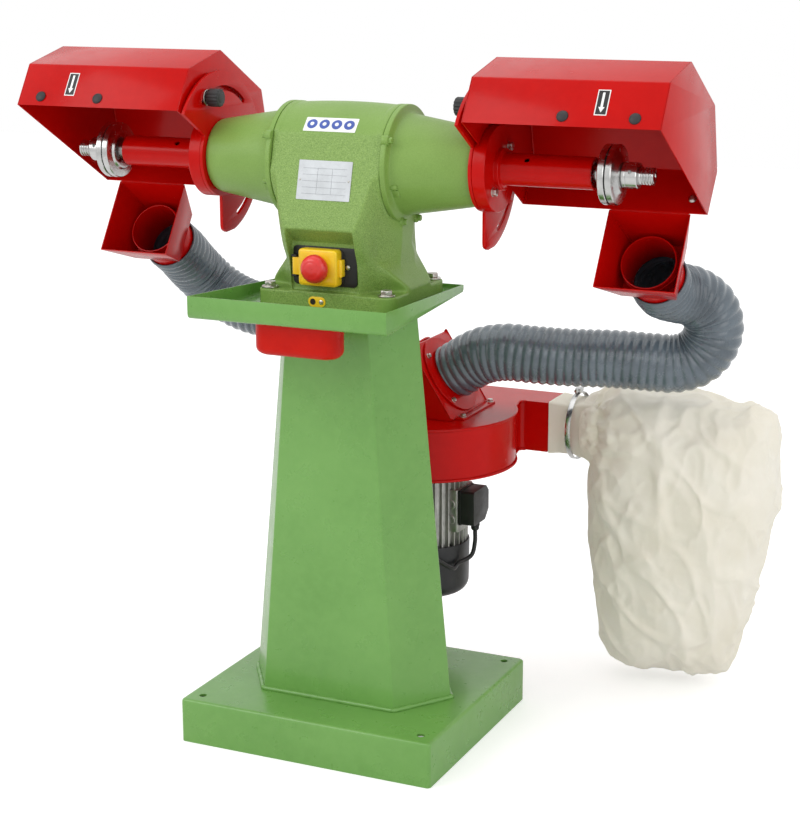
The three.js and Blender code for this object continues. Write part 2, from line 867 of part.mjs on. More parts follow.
function motorHousing() {
  const foot = prismZ(
    moved(roundedRect(footHalfWidth, footHalfDepth, footCorner), 0, footY),
    footBottom, footTop,
  );
  const body = join(trunk(), barrel(), foot);
  const seams = [-1, 1].map((side) => {
    const ends = [side * barrelHalfLength, side * (barrelHalfLength + seamWidth)].sort((a, b) => a - b);
    return discX(seamRadius, ends[0], ends[1], spindleY, spindleHeight, barrelSides);
  });
  const bore = discX(
    motorBore, -barrelHalfLength - seamWidth - overrun, barrelHalfLength + seamWidth + overrun,
    spindleY, spindleHeight, barrelSides,
  );
  const recess = prismX(
    [
      [machineY - chinDepth - castingWall * 2, chinHeight], [machineY - chinDepth, chinHeight],
      [machineY - recessDepth, recessTop], [machineY - recessDepth, recessBottom],
      [machineY - chinDepth - castingWall * 2, recessBottom],
    ],
    -recessHalfWidth, recessHalfWidth,
  );
  const window = prismY(
    moved(roundedRect(frameHalfWidth + gap, frameHalfHeight + gap, gap * 5), switchAcross, switchHeight),
    machineY - recessDepth - overrun, machineY,
  );
  const holes = boltPlaces().map(([, x, y]) =>
    discZ(boltSize / 2 + 3 * gap, footBottom - overrun, footTop + overrun * 2, x, y, smallSides),
  );
  const spots = boltPlaces().map(([, x, y]) =>
    discZ(washerSize / 2 + 4 * gap, footTop, chinHeight, x, y),
  );
  const bellRooms = [-1, 1].map((side) => {
    const near = side * (barrelHalfLength + seamWidth);
    const ends = [near, side * footHalfWidth].sort((a, b) => a - b);
    return discX(seamRadius + bellLug + gap, ends[0], ends[1], spindleY, spindleHeight, barrelSides);
  });
  const whole = cut(join(body, ...seams), faceTrim(), ...bellRooms, ...spots);
  return cut(whole, bore, recess, trunkHollow(), window, ...holes);
}

function footBolt(x, y) {
  const top = footTop + gap;
  const washer = discZ(washerSize / 2, top, top + washerThickness, x, y, smallSides);
  const head = discZ(boltHead / 2, top, top + washerThickness + boltHeadHeight, x, y, boltSides);
  const shank = discZ(boltSize / 2, columnTop - boltSize, top + washerThickness, x, y, smallSides);
  return join(washer, head, shank);
}

function endBell() {
  const start = barrelHalfLength + seamWidth + gap;
  const flangeEnd = start + seamWidth - gap;
  const shell = turnedX(
    [
      [motorBore, start], [seamRadius, start], [seamRadius, flangeEnd],
      [bellBigRadius, flangeEnd + seamWidth / 4],
      [bellSmallRadius, bellEnd], [shaftRadius + gap * 4, bellEnd],
      [shaftRadius + gap * 4, bellEnd - bellWall], [innerBearingRadius + gap, bellEnd - bellWall],
      [innerBearingRadius + gap, bellEnd - bellHub], [bellSmallRadius - bellWall, bellEnd - bellHub],
      [motorBore, flangeEnd], [motorBore, start],
    ],
    spindleY, spindleHeight, barrelSides,
  );
  const lugs = bellLugShares.map((share) => {
    const [y, z] = aboutSpindle(share * 360, seamRadius - bellLug / 3);
    return discX(bellLug, start, flangeEnd + seamWidth, y, z, smallSides);
  });
  const clear = discX(motorBore, start - overrun, flangeEnd, spindleY, spindleHeight, barrelSides);
  const inside = turnedX(
    [
      [0, flangeEnd - gap], [motorBore, flangeEnd - gap], [bellSmallRadius - bellWall, bellEnd - bellHub],
      [0, bellEnd - bellHub],
    ],
    spindleY, spindleHeight, barrelSides,
  );
  return join(cut(join(...lugs), clear, inside), shell);
}

// Adjuster plate, knob and spindle tube, drawn for the right side

const plateStart = bellEnd + gap;
const plateEnd = plateStart + plateThickness;
const hoodInner = plateEnd + hoodStandoff;

// A point of the plate's outer arc, whose middle lies beside the spindle
function aboutPlate(angle, radius) {
  const [y, z] = aboutSpindle(angle, radius);
  return [y + plateAside, z + plateUp];
}

function slot(radius, from, to, width) {
  const outer = [];
  const inner = [];
  const steps = 8;
  for (let i = 0; i <= steps; i++) {
    const angle = from + ((to - from) * i) / steps;
    outer.push(aboutSpindle(angle, radius + width / 2));
    inner.unshift(aboutSpindle(angle, radius - width / 2));
  }
  return prismX([...outer, ...inner], plateStart - overrun, plateEnd + overrun);
}

function adjusterPlate() {
  const outline = [];
  for (let i = 0; i <= plateSteps; i++) {
    const angle = THREE.MathUtils.lerp(plateFrontAngle, plateTipAngle, i / plateSteps);
    outline.push(aboutPlate(angle, plateRadius));
  }
  const tipY = spindleY + plateAside;
  const [, tipZ] = aboutPlate(plateTipAngle, plateRadius);
  outline.push([tipY + plateTipRound, tipZ - plateTipRound / 4], [tipY, tipZ + plateTipRound * 0.75]);
  outline.push([tipY, spindleHeight - flangeRadius]);
  const turns = smallSides;
  for (let i = 1; i <= turns; i++) {
    outline.push(aboutSpindle(THREE.MathUtils.lerp(180, 360 + plateFrontAngle, i / turns), flangeRadius));
  }
  const plate = prismX(outline, plateStart, plateEnd);
  const bore = discX(shaftRadius + gap * 4, plateStart - overrun, plateEnd + overrun, spindleY, spindleHeight);
  return cut(
    plate, bore,
    slot(slotRadius, slotStart, slotEnd, slotWidth),
    slot(earSlotRadius, earSlotStart, earSlotEnd, slotWidth),
  );
}

const [knobY, knobZ] = aboutSpindle(knobAngle, slotRadius);
const hoodNut = studSize;

function clampKnob() {
  const seat = plateStart - gap;
  const washerFace = seat - knobWasherThickness;
  const neckEnd = washerFace - knobNeck / 2;
  const outline = [];
  for (let i = 0; i < knobFlutes * 2; i++) {
    const angle = (Math.PI * i) / knobFlutes;
    const radius = i % 2 ? knobRadius : knobRadius * 0.88;
    outline.push([knobY + radius * Math.cos(angle), knobZ + radius * Math.sin(angle)]);
  }
  const grip = prismX(outline, neckEnd - knobLength, neckEnd);
  const neck = discX(knobNeck, neckEnd, washerFace, knobY, knobZ, smallSides);
  const washer = discX(knobWasherSize / 2, washerFace, seat, knobY, knobZ, smallSides);
  const stud = discX(studSize / 2, washerFace, hoodInner + hoodSheet + hoodNut, knobY, knobZ, smallSides);
  return join(grip, neck, washer, stud);
}

function spindleTube() {
  const flangeStart = plateEnd + gap;
  const flangeEnd = flangeStart + flangeThickness;
  const body = turnedX(
    [
      [shaftRadius + gap * 4, flangeStart], [flangeRadius, flangeStart], [flangeRadius, flangeEnd],
      [tubeCollar, flangeEnd], [tubeCollar, flangeEnd + tubeCollarLength],
      [tubeRadius, flangeEnd + tubeCollarLength], [tubeRadius, tubeEnd],
      [tubeBore, tubeEnd], [tubeBore, flangeEnd], [shaftRadius + gap * 4, flangeEnd],
      [shaftRadius + gap * 4, flangeStart],
    ],
    spindleY, spindleHeight,
  );
  const hole = leaning(discZ(tubeHole / 2, 0, tubeCollar, tubeHoleAt, 0, smallSides), tubeHoleLean);
  const bolts = flangeBoltShares.map((share) => {
    const [y, z] = aboutSpindle(share * 360, flangeBoltCircle);
    return discX(flangeBolt, flangeEnd - gap, flangeEnd + flangeBolt * 0.7, y, z, boltSides);
  });
  return join(cut(body, hole), ...bolts);
}

// A tool that points up from the spindle's axis, leaned over to the front
function leaning(solid, degrees) {
  const geometry = toGeometry(solid);
  geometry.rotateX(radians(degrees));
  geometry.translate(0, spindleY, spindleHeight);
  return toSolid(geometry);
}

// Hood and chute, drawn for the right side

function hoodPoints() {
  return hoodProfile.map(([y, z]) => [spindleY + y, spindleHeight + z]);
}

function hood() {
  const outline = hoodPoints().reverse();
  const skin = prismX(outline, hoodInner, hoodOuter);
  const inner = inset(outline, hoodSheet);
  const mouthFrom = inner[0];
  const mouthTo = inner[inner.length - 1];
  const dy = mouthTo[0] - mouthFrom[0];
  const dz = mouthTo[1] - mouthFrom[1];
  const length = Math.hypot(dy, dz);
  const outward = [(-dz / length) * hoodSheet * 8, (dy / length) * hoodSheet * 8];
  const beyond = [mouthTo, mouthFrom].map(([y, z]) => [y + outward[0], z + outward[1]]);
  const hollow = prismX([...inner, ...beyond], hoodInner + hoodSheet, hoodOuter - hoodSheet);
  const notch = discX(
    clearOf(flangeRadius), hoodInner - overrun, hoodInner + hoodSheet + overrun, spindleY, spindleHeight,
  );
  const nut = discX(studSize, plateEnd + gap, hoodInner + hoodSheet + hoodNut, knobY, knobZ, boltSides);
  const studHole = discX(
    studSize / 2 + gap, plateEnd - overrun, hoodInner + hoodNut * 2, knobY, knobZ, smallSides,
  );
  return cut(join(cut(skin, hollow, notch), nut), studHole);
}

// The chute tapers from its slanted mouth to the stub, along the square of its mouth
const mouthMiddle = [
  spindleY + (chuteTop[0] + chuteBottom[0]) / 2,
  spindleHeight + (chuteTop[1] + chuteBottom[1]) / 2,
];
const mouthHeight = Math.hypot(chuteTop[0] - chuteBottom[0], chuteTop[1] - chuteBottom[1]);
const mouthUp = [(chuteTop[0] - chuteBottom[0]) / mouthHeight, (chuteTop[1] - chuteBottom[1]) / mouthHeight];
const stubAxis = [mouthUp[1], -mouthUp[0]];
const chuteMiddleX = (chuteInner + chuteOuter) / 2;

// A point of the chute: across in X, up along the mouth, and along the stub's axis
function chutePoint(across, up, along) {
  return [
    chuteMiddleX + across,
    mouthMiddle[0] + mouthUp[0] * up + stubAxis[0] * along,
    mouthMiddle[1] + mouthUp[1] * up + stubAxis[1] * along,
  ];
}

function chuteTube(radius, from, to, sides = roundSides) {
  const geometry = latheGeometry(discProfile(radius, from, to), sides);
  const basis = new THREE.Matrix4().makeBasis(
    axisX.clone().negate(),
    new THREE.Vector3(0, stubAxis[0], stubAxis[1]),
    new THREE.Vector3(0, mouthUp[0], mouthUp[1]),
  );
  geometry.applyMatrix4(basis);
  geometry.translate(...chutePoint(0, 0, 0));
  return toSolid(geometry);
}

function chute() {
  const wide = (chuteOuter - chuteInner) / 2;
  const tall = mouthHeight / 2;
  const narrow = stubRadius + stubSheet / 2;
  const ring = (x, up, along) =>
    [[x, up], [-x, up], [-x, -up], [x, -up]].map(([a, b]) => chutePoint(a, b, along));
  const skin = loft([ring(wide, tall, 0), ring(narrow, narrow, chuteLength)]);
  const sheet = chuteSheet;
  const reach = chuteLength * 0.1;
  const slopeX = ((wide - narrow) / chuteLength) * reach;
  const slopeZ = ((tall - narrow) / chuteLength) * reach;
  const hollow = loft([
    ring(wide - sheet + slopeX, tall - sheet + slopeZ, -reach),
    ring(narrow - sheet - slopeX, narrow - sheet - slopeZ, chuteLength + reach),
  ]);
  const wall = narrow - sheet / 2;
  const back = cut(
    loft([ring(wall, wall, chuteLength - sheet), ring(wall, wall, chuteLength)]),
    chuteTube(stubRadius - stubSheet, 0, chuteLength * 2),
  );
  const stub = cut(
    chuteTube(stubRadius, stubStart, stubEnd),
    chuteTube(stubRadius - stubSheet, 0, stubEnd + overrun),
  );
  return join(cut(skin, hollow), back, stub);
}

// Spindle, rotor, bearings, wheel flanges and nuts

function spindleShaft() {
  const right = [
    [rotorSeat, coreHalfLength + windingLength], [shaftRadius, coreHalfLength + windingLength],
    [shaftRadius, shaftTip - threadTurns * threadPitch],
  ];
  for (let i = 0; i < threadTurns; i++) {
    const x = shaftTip - (threadTurns - i) * threadPitch;
    right.push([shaftRadius - threadDepth, x + threadPitch / 2], [shaftRadius, x + threadPitch]);
  }
  right.push([0, shaftTip]);
  const left = right.map(([r, x]) => [r, -x]).reverse();
  return turnedX([...left, ...right], spindleY, spindleHeight, smallSides);
}

function rotorCore() {
  return turnedX(
    ringProfile(rotorSeat + gap, rotorRadius, -coreHalfLength, coreHalfLength),
    spindleY, spindleHeight, roundSides,
  );
}

function statorCore() {
  const inner = rotorRadius + gap * 3;
  const outer = motorBore - gap;
  const swell = (outer - inner) / 4;
  const end = coreHalfLength + windingLength;
  const half = [[inner, coreHalfLength], [inner + swell, end], [outer - swell, end], [outer, coreHalfLength]];
  const other = half.map(([r, x]) => [r, -x]).reverse();
  return turnedX([...other, ...half, other[0]], spindleY, spindleHeight, barrelSides);
}

function bearing(radius, from, width) {
  return turnedX(ringProfile(shaftRadius + gap, radius, from, from + width), spindleY, spindleHeight);
}

function wheelFlange(start, hubSide) {
  const end = start + wheelFlangeThickness;
  const edge = wheelFlangeThickness * 0.25;
  const hub = wheelFlangeRadius * 0.6;
  const face = wheelFlangeThickness * 0.35;
  const bore = shaftRadius + gap;
  const points = [
    [bore, start], [wheelFlangeRadius, start], [wheelFlangeRadius, end - face - edge],
    [wheelFlangeRadius - edge, end - face], [hub, end - edge], [hub * 0.8, end],
    [hub * 0.8, end + wheelHubLength], [bore, end + wheelHubLength], [bore, start],
  ];
  const middle = start + end;
  const profile = hubSide > 0 ? points : points.map(([r, x]) => [r, middle - x]);
  return turnedX(profile, spindleY, spindleHeight);
}

const outerFlangeStart = wheelFlangeStart + wheelFlangeThickness + wheelFlangeSpace;
const outerFlangeEnd = outerFlangeStart + wheelFlangeThickness + wheelHubLength;

function spindleNut() {
  const start = outerFlangeEnd + gap;
  const edge = nutRadius * 0.08;
  const body = turnedX(
    [
      [shaftRadius + gap, start], [nutRadius - edge, start], [nutRadius, start + edge],
      [nutRadius, nutEnd - edge],
      [nutRadius - edge, nutEnd], [shaftRadius + gap, nutEnd], [shaftRadius + gap, start],
    ],
    spindleY, spindleHeight,
  );
  const middle = (start + nutEnd) / 2;
  const reach = nutRadius * 2;
  const tommy = discY(nutHole / 2, spindleY - reach, spindleY + reach, middle, spindleHeight, smallSides);
  const through = discZ(
    nutHole / 2, spindleHeight - reach, spindleHeight + reach, middle, spindleY, smallSides,
  );
  const shaft = discX(shaftRadius + gap * 2, start, nutEnd, spindleY, spindleHeight);
  return cut(body, cut(join(tommy, through), shaft));
}

// Switch: plate, frame, hinged flap, mushroom button and the two buttons under the flap

const recessFace = machineY - recessDepth;
const plateFront = recessFace - gap - switchPlateThickness;
const flapBack = plateFront - flapStandoff;
const flapFront = flapBack - flapDepth;
const hingeY = plateFront - hingeBarrel - flapStandoff * 2;
const hingeX = switchAcross - hingeAcross;
const flapEdge = switchAcross + flapHalfWidth;

function switchPlate() {
  const outline = roundedRect(switchPlateHalfWidth, switchPlateHalfHeight, switchPlateCorner);
  const opening = roundedRect(frameHalfWidth + gap, frameHalfHeight + gap, gap * 5);
  const window = moved(opening, switchAcross, switchHeight);
  return prismY(moved(outline, 0, switchHeight), plateFront, recessFace - gap, [window]);
}

function switchFrame() {
  const body = prismY(
    moved(roundedRect(frameHalfWidth, frameHalfHeight, gap * 5), switchAcross, switchHeight),
    plateFront - frameFrontDepth, recessFace + frameBackDepth,
  );
  const bezelDepth = flapStandoff - gap * 2;
  const bezel = box(
    hingeX - hingeBarrel, flapEdge,
    plateFront - gap - bezelDepth, plateFront - gap,
    switchHeight - frameHalfHeight, switchHeight + frameHalfHeight,
  );
  const ears = [-1, 1].map((side) => {
    const near = switchHeight + side * (hingeHalfHeight + gap);
    const far = switchHeight + side * (hingeHalfHeight + gap + earThickness);
    return box(
      hingeX - hingeBarrel, hingeX + hingeBarrel,
      hingeY - hingeBarrel, plateFront - gap, Math.min(near, far), Math.max(near, far),
    );
  });
  const pin = discZ(
    hingePin, switchHeight - hingeHalfHeight - earThickness, switchHeight + hingeHalfHeight + earThickness,
    hingeX, hingeY, smallSides,
  );
  const mouth = plateFront - frameFrontDepth;
  const wells = [switchAcross, switchAcross + startAcross].map((x) =>
    discY(buttonRadius + gap, mouth - overrun, mouth + wellDepth, x, switchHeight, smallSides),
  );
  return cut(join(body, bezel, ...ears, pin), ...wells);
}

function switchFlap() {
  const outline = roundedRect(flapHalfWidth, flapHalfHeight, flapCorner);
  const room = roundedRect(flapHalfWidth - flapWall, flapHalfHeight - flapWall, flapCorner - flapWall);
  const shell = prismY(moved(outline, switchAcross, switchHeight), flapFront, flapBack);
  const hollow = prismY(moved(room, switchAcross, switchHeight), flapFront + flapWall, flapBack + overrun);
  const stemHole = discY(
    clearOf(mushroomStem), flapFront - overrun, flapFront + overrun, switchAcross, switchHeight,
  );
  const low = switchHeight - hingeHalfHeight;
  const high = switchHeight + hingeHalfHeight;
  const webEnd = switchAcross - flapHalfWidth + flapWall / 2;
  const barrelSolid = discZ(hingeBarrel, low, high, hingeX, hingeY, smallSides);
  const web = box(hingeX, webEnd, hingeY - hingeBarrel, hingeY, low, high);
  const latch = box(
    flapEdge - flapWall / 2, flapEdge + latchReach, hingeY - hingeBarrel, flapBack, low, high,
  );
  const pinHole = discZ(hingePin + gap, low - overrun, high + overrun, hingeX, hingeY, smallSides);
  return cut(join(cut(shell, hollow), barrelSolid, web, latch), stemHole, pinHole);
}

function stopMushroom() {
  const neckStart = flapFront - mushroomTravel - gap * 2;
  const collar = flapFront + flapWall + gap;
  const stemEnd = plateFront - frameFrontDepth - buttonStand - gap;
  const head = neckStart - mushroomHeight;
  return turnedY(
    [
      [0, stemEnd], [rodRadius, stemEnd], [rodRadius, collar + flapWall],
      [mushroomStem + flapWall, collar + flapWall], [mushroomStem + flapWall, collar], [mushroomStem, collar],
      [mushroomStem, neckStart], [mushroomRadius * 0.84, neckStart],
      [mushroomRadius, neckStart - mushroomHeight * 0.3],
      [mushroomRadius * 0.97, neckStart - mushroomHeight * 0.55],
      [mushroomRadius * 0.8, neckStart - mushroomHeight * 0.85], [mushroomRadius * 0.5, head], [0, head],
    ],
    switchAcross, switchHeight, roundSides,
  );
}

function pushButton(x) {
  const bodyFront = plateFront - frameFrontDepth;
  const front = bodyFront - buttonStand;
  return turnedY(
    [
      [0, front + buttonLength], [buttonRadius, front + buttonLength],
      [buttonRadius, front + buttonRadius * 0.2],
      [buttonRadius * 0.8, front], [0, front],
    ],
    x, switchHeight, smallSides,
  );
}

// Fan scroll: the wall follows a spiral from the tongue, clockwise from above, to the outlet's back wall

const scrollBottom = scrollTop - scrollHeight;

function spiral(drawnIn) {
  const sweep = 270 + scrollTongue;
  const points = [];
  for (let i = 0; i <= spiralSteps; i++) {
    const turned = (sweep * i) / spiralSteps;
    const radius = scrollStartRadius + (scrollGrowth * turned) / sweep - drawnIn;
    const angle = radians(scrollTongue - turned);
    points.push([fanX + radius * Math.cos(angle), fanY + radius * Math.sin(angle)]);
  }
  return points;
}

function scrollOutline(drawnIn) {
  const wall = spiral(drawnIn);
  const back = outletBack - drawnIn;
  const front = outletFront + drawnIn;
  const [tongueX] = wall[0];
  const fillet = (outletEnd - tongueX) / 5;
  const nose = arc(tongueX + fillet, front - fillet, fillet, 180, 90, 3).map(([x, y]) => [x, y]);
  const first = wall.slice(1);
  const last = first.length - 1;
  first[last] = [first[last][0], back];
  return [...first, [outletEnd, back], [outletEnd, front], ...nose.reverse()];
}

// The outlet's change from square to round, grown by a distance, up to the spigot's end
function outletNeck(grown, end) {
  const middleY = (outletBack + outletFront) / 2;
  const middleZ = (scrollTop + scrollBottom) / 2;
  const ring = (x, halfY, halfZ, corner) =>
    roundedRect(halfY, halfZ, corner, arcSteps).map(([y, z]) => [x, middleY + y, middleZ + z]);
  const corner = scrollSheet + Math.max(grown, 0);
  const radius = spigotRadius + grown;
  return loft([
    ring(outletEnd - scrollSheet, (outletBack - outletFront) / 2 + grown, scrollHeight / 2 + grown, corner),
    ring(spigotStart, radius, radius, radius), ring(end, radius, radius, radius),
  ]);
}

function fanScroll() {
  const outer = prismZ(scrollOutline(0), scrollBottom, scrollTop);
  const rim = scrollRim;
  const lips = [scrollBottom, scrollTop - scrollSheet].map((z) =>
    prismZ(scrollOutline(-rim), z, z + scrollSheet),
  );
  const inner = prismZ(scrollOutline(scrollSheet), scrollBottom + scrollSheet, scrollTop - scrollSheet);
  const neckOuter = outletNeck(0, spigotEnd);
  const neckInner = join(
    outletNeck(-scrollSheet, spigotEnd + overrun),
    box(
      outletEnd - overrun * 2, outletEnd - scrollSheet / 2,
      outletFront + scrollSheet, outletBack - scrollSheet,
      scrollBottom + scrollSheet, scrollTop - scrollSheet,
    ),
  );
  const throat = discZ(throatRadius, scrollTop - overrun, scrollTop + overrun, fanX, fanY);
  const shaftHole = discZ(
    motorShaftRadius + gap * 10, scrollBottom - overrun, scrollBottom + overrun, fanX, fanY,
  );
  const outletSide = box(
    outletEnd - scrollSheet, outletEnd + rim * 2, outletFront - rim * 2, outletBack + rim * 2,
    scrollBottom - rim, scrollTop + rim,
  );
  const shell = cut(join(outer, ...lips.map((lip) => cut(lip, outletSide))), inner);
  return cut(join(shell, neckOuter), neckInner, throat, shaftHole);
}

// Inlet box on the scroll: a roof whose two slopes carry the hose collars

const slopeLength = Math.hypot(inletHalfWidth, inletHeight);
const slopeNormal = [inletHeight / slopeLength, inletHalfWidth / slopeLength];
const roofBottom = scrollTop + gap;
const slopeMiddle = [inletHalfWidth / 2, roofBottom + inletHeight / 2];

function slopeTube(radius, from, to, sides = roundSides) {
  const geometry = latheGeometry(discProfile(radius, from, to), sides);
  const basis = new THREE.Matrix4().makeBasis(
    new THREE.Vector3(-slopeNormal[1], 0, slopeNormal[0]),
    new THREE.Vector3(slopeNormal[0], 0, slopeNormal[1]),
    axisY,
  );
  geometry.applyMatrix4(basis);
  geometry.translate(slopeMiddle[0], fanY, slopeMiddle[1]);
  return toSolid(geometry);
}

function mirroredAboutFan(solid) {
  const geometry = toGeometry(solid);
  geometry.translate(-fanX, 0, 0);
  geometry.scale(-1, 1, 1);
  geometry.translate(fanX, 0, 0);
  return toSolid(geometry);
}

function atFan(solid) {
  const geometry = toGeometry(solid);
  geometry.translate(fanX, 0, 0);
  return toSolid(geometry);
}

function inletBox() {
  const triangle = (half, low, high) => [[-half, low], [half, low], [0, high]];
  const roof = prismY(
    moved(triangle(inletHalfWidth, roofBottom, roofBottom + inletHeight), fanX, 0),
    fanY - inletHalfLength, fanY + inletHalfLength,
  );
  const share = 1 - (inletSheet * 2.2) / inletHalfWidth;
  const hollow = prismY(
    moved(triangle(inletHalfWidth * share, roofBottom - overrun, roofBottom + inletHeight * share), fanX, 0),
    fanY - inletHalfLength + inletSheet, fanY + inletHalfLength - inletSheet,
  );
  const foot = cut(
    box(
      fanX - inletHalfWidth - inletFoot, fanX + inletHalfWidth + inletFoot,
      fanY - inletHalfLength * 0.8, fanY + inletHalfLength, roofBottom, roofBottom + inletSheet * 1.5,
    ),
    box(
      fanX - inletHalfWidth * share, fanX + inletHalfWidth * share,
      fanY - inletHalfLength + inletSheet, fanY + inletHalfLength - inletSheet,
      roofBottom - overrun, roofBottom + overrun,
    ),
  );
  const mouth = atFan(slopeTube(stubRadius - stubSheet, -overrun * 2, overrun * 2));
  return cut(join(cut(roof, hollow), foot), mouth, mirroredAboutFan(mouth));
}

function inletCollar() {
  const from = gap;
  const plate = slopeTube(collarRadius, from, from + collarThickness);
  const tube = slopeTube(stubRadius, from, from + collarLength, roundSides);
  const bore = slopeTube(stubRadius - stubSheet, -overrun, collarLength + overrun);
  const bolts = [];
  for (let k = 0; k < 4; k++) {
    const angle = (Math.PI * (2 * k + 1)) / 4;
    const radius = (collarRadius + stubRadius) / 2 + hoseRib;
    const up = radius * Math.sin(angle);
    const aside = radius * Math.cos(angle);
    const geometry = latheGeometry(discProfile(hoseRib * 1.6, from, from + collarThickness * 2), 6);
    geometry.translate(up, 0, aside);
    geometry.applyMatrix4(
      new THREE.Matrix4().makeBasis(
        new THREE.Vector3(-slopeNormal[1], 0, slopeNormal[0]),
        new THREE.Vector3(slopeNormal[0], 0, slopeNormal[1]),
        axisY,
      ),
    );
    geometry.translate(slopeMiddle[0], fanY, slopeMiddle[1]);
    bolts.push(toSolid(geometry));
  }
  return atFan(cut(join(plate, tube, ...bolts), bore));
}

// Impeller and fan motor

const impellerBottom = scrollBottom + scrollSheet + impellerClearance;

function impeller() {
  const plate = turnedZ(
    ringProfile(motorShaftRadius + gap, impellerRadius, impellerBottom, impellerBottom + bladeThickness),
    fanX, fanY,
  );
  const hubTop = impellerBottom + bladeHeight / 2;
  const bore = motorShaftRadius + gap;
  const hub = turnedZ(ringProfile(bore, impellerHub, impellerBottom, hubTop), fanX, fanY, smallSides);
  const blades = [];
  const start = impellerHub * 2;
  const length = impellerRadius - start;
  for (let k = 0; k < bladeCount; k++) {
    const blade = new THREE.BoxGeometry(length, bladeThickness, bladeHeight);
    blade.translate(length / 2, 0, impellerBottom + bladeHeight / 2);
    blade.rotateZ(radians(-bladeLean));
    blade.translate(start, 0, 0);
    blade.rotateZ((2 * Math.PI * k) / bladeCount);
    blade.translate(fanX, fanY, 0);
    blades.push(toSolid(blade));
  }
  return join(plate, hub, ...blades);
}

const motorTop = scrollBottom - gap;
const motorBottom = motorTop - motorBodyLength;
const cowlBottom = motorBottom - cowlLength;

function fanMotorFrame() {
  const points = [];
  for (let i = 0; i < motorFinCount * 2; i++) {
    const angle = (Math.PI * i) / motorFinCount;
    const radius = i % 2 ? motorRadius + motorFinDepth : motorRadius;
    points.push([fanX + radius * Math.cos(angle), fanY + radius * Math.sin(angle)]);
  }
  const finned = prismZ(points, motorBottom, motorTop - motorFlangeThickness * 2);
  const neck = discZ(motorRadius, motorTop - motorFlangeThickness * 2.5, motorTop, fanX, fanY);
  const flange = discZ(motorFlangeRadius, motorTop - motorFlangeThickness, motorTop, fanX, fanY);
  const block = box(
    fanX, fanX + blockEnd, fanY - blockHalfDepth, fanY + blockHalfDepth,
    motorTop - blockHigh, motorTop - blockLow,
  );
  const plugs = [0.34, 0.72].map((share) =>
    discY(
      blockHalfDepth * 0.22, fanY - blockHalfDepth - hoseRib, fanY - blockHalfDepth + hoseRib,
      fanX + blockEnd * 0.78, motorTop - THREE.MathUtils.lerp(blockLow, blockHigh, share), smallSides,
    ),
  );
  const inside = discZ(
    motorRadius - motorWall, motorBottom - overrun, motorTop - motorFlangeThickness, fanX, fanY,
  );
  const shaftHole = discZ(motorShaftRadius + gap * 2, motorBottom, motorTop + overrun, fanX, fanY);
  const shield = turnedZ(
    ringProfile(
      motorShaftRadius, motorRadius - motorWall / 2, motorBottom, motorBottom + motorFlangeThickness,
    ),
    fanX, fanY,
  );
  return join(cut(join(finned, neck, flange, block, ...plugs), inside, shaftHole), shield);
}

function fanStator() {
  const outer = motorRadius - motorWall - gap;
  const length = motorBodyLength * 0.3;
  const middle = (motorTop + motorBottom) / 2;
  return turnedZ(ringProfile(outer * 0.62, outer, middle - length, middle + length), fanX, fanY, roundSides);
}

// The fan motor's shaft with its rotor pressed on, from the cooling fan up to the impeller
function fanShaft() {
  const outer = (motorRadius - motorWall - gap) * 0.62 - gap * 2;
  const length = motorBodyLength * 0.28;
  const shield = motorBottom + motorFlangeThickness + gap;
  const middle = (motorTop + motorBottom) / 2;
  return turnedZ(
    [
      [0, cowlBottom + cowlRound * 1.4], [motorShaftRadius * 0.8, cowlBottom + cowlRound * 1.4],
      [motorShaftRadius * 0.8, shield], [motorShaftRadius, shield],
      [motorShaftRadius, middle - length], [outer, middle - length], [outer, middle + length],
      [motorShaftRadius, middle + length], [motorShaftRadius, impellerBottom + bladeHeight / 2],
      [0, impellerBottom + bladeHeight / 2],
    ],
    fanX, fanY, smallSides,
  );
}

function coolingFan() {
  const low = cowlBottom + cowlRound * 1.5;
  const bore = motorShaftRadius * 0.8 + gap;
  const plate = turnedZ(ringProfile(bore, cowlRadius * 0.82, low, low + cowlSheet), fanX, fanY, roundSides);
  const hubRing = ringProfile(bore, motorShaftRadius * 1.7, low, low + cowlRound);
  const hub = turnedZ(hubRing, fanX, fanY, smallSides);
  const blades = [];
  for (let k = 0; k < 6; k++) {
    const length = cowlRadius * 0.82 - motorShaftRadius * 1.5;
    const blade = new THREE.BoxGeometry(length, cowlSheet, cowlRound);
    blade.translate(motorShaftRadius * 1.5 + length / 2, 0, low + cowlRound / 2);
    blade.rotateZ((Math.PI * k) / 3);
    blade.translate(fanX, fanY, 0);
    blades.push(toSolid(blade));
  }
  return join(plate, hub, ...blades);
}

function fanCowl() {
  const top = motorBottom + cowlLength * 0.12;
  const inner = cowlRadius - cowlSheet;
  const arcPoints = arc(cowlRadius - cowlRound, cowlBottom + cowlRound, cowlRound, -90, 0, 3);
  const innerArc = arc(inner - cowlRound, cowlBottom + cowlRound + cowlSheet, cowlRound, 0, -90, 3);
  const shell = turnedZ(
    [
      [0, cowlBottom], ...arcPoints, [cowlRadius, top], [inner, top], ...innerArc,
      [0, cowlBottom + cowlSheet],
    ],
    fanX, fanY,
  );
  const slots = [];
  for (let k = 0; k < 6; k++) {
    const slotBox = new THREE.BoxGeometry(cowlRadius * 0.34, cowlSheet * 2.5, overrun * 3);
    slotBox.translate(cowlRadius * 0.42, 0, cowlBottom);
    slotBox.rotateZ((Math.PI * k) / 3);
    slotBox.translate(fanX, fanY, 0);
    slots.push(toSolid(slotBox));
  }
  return cut(shell, ...slots);
}

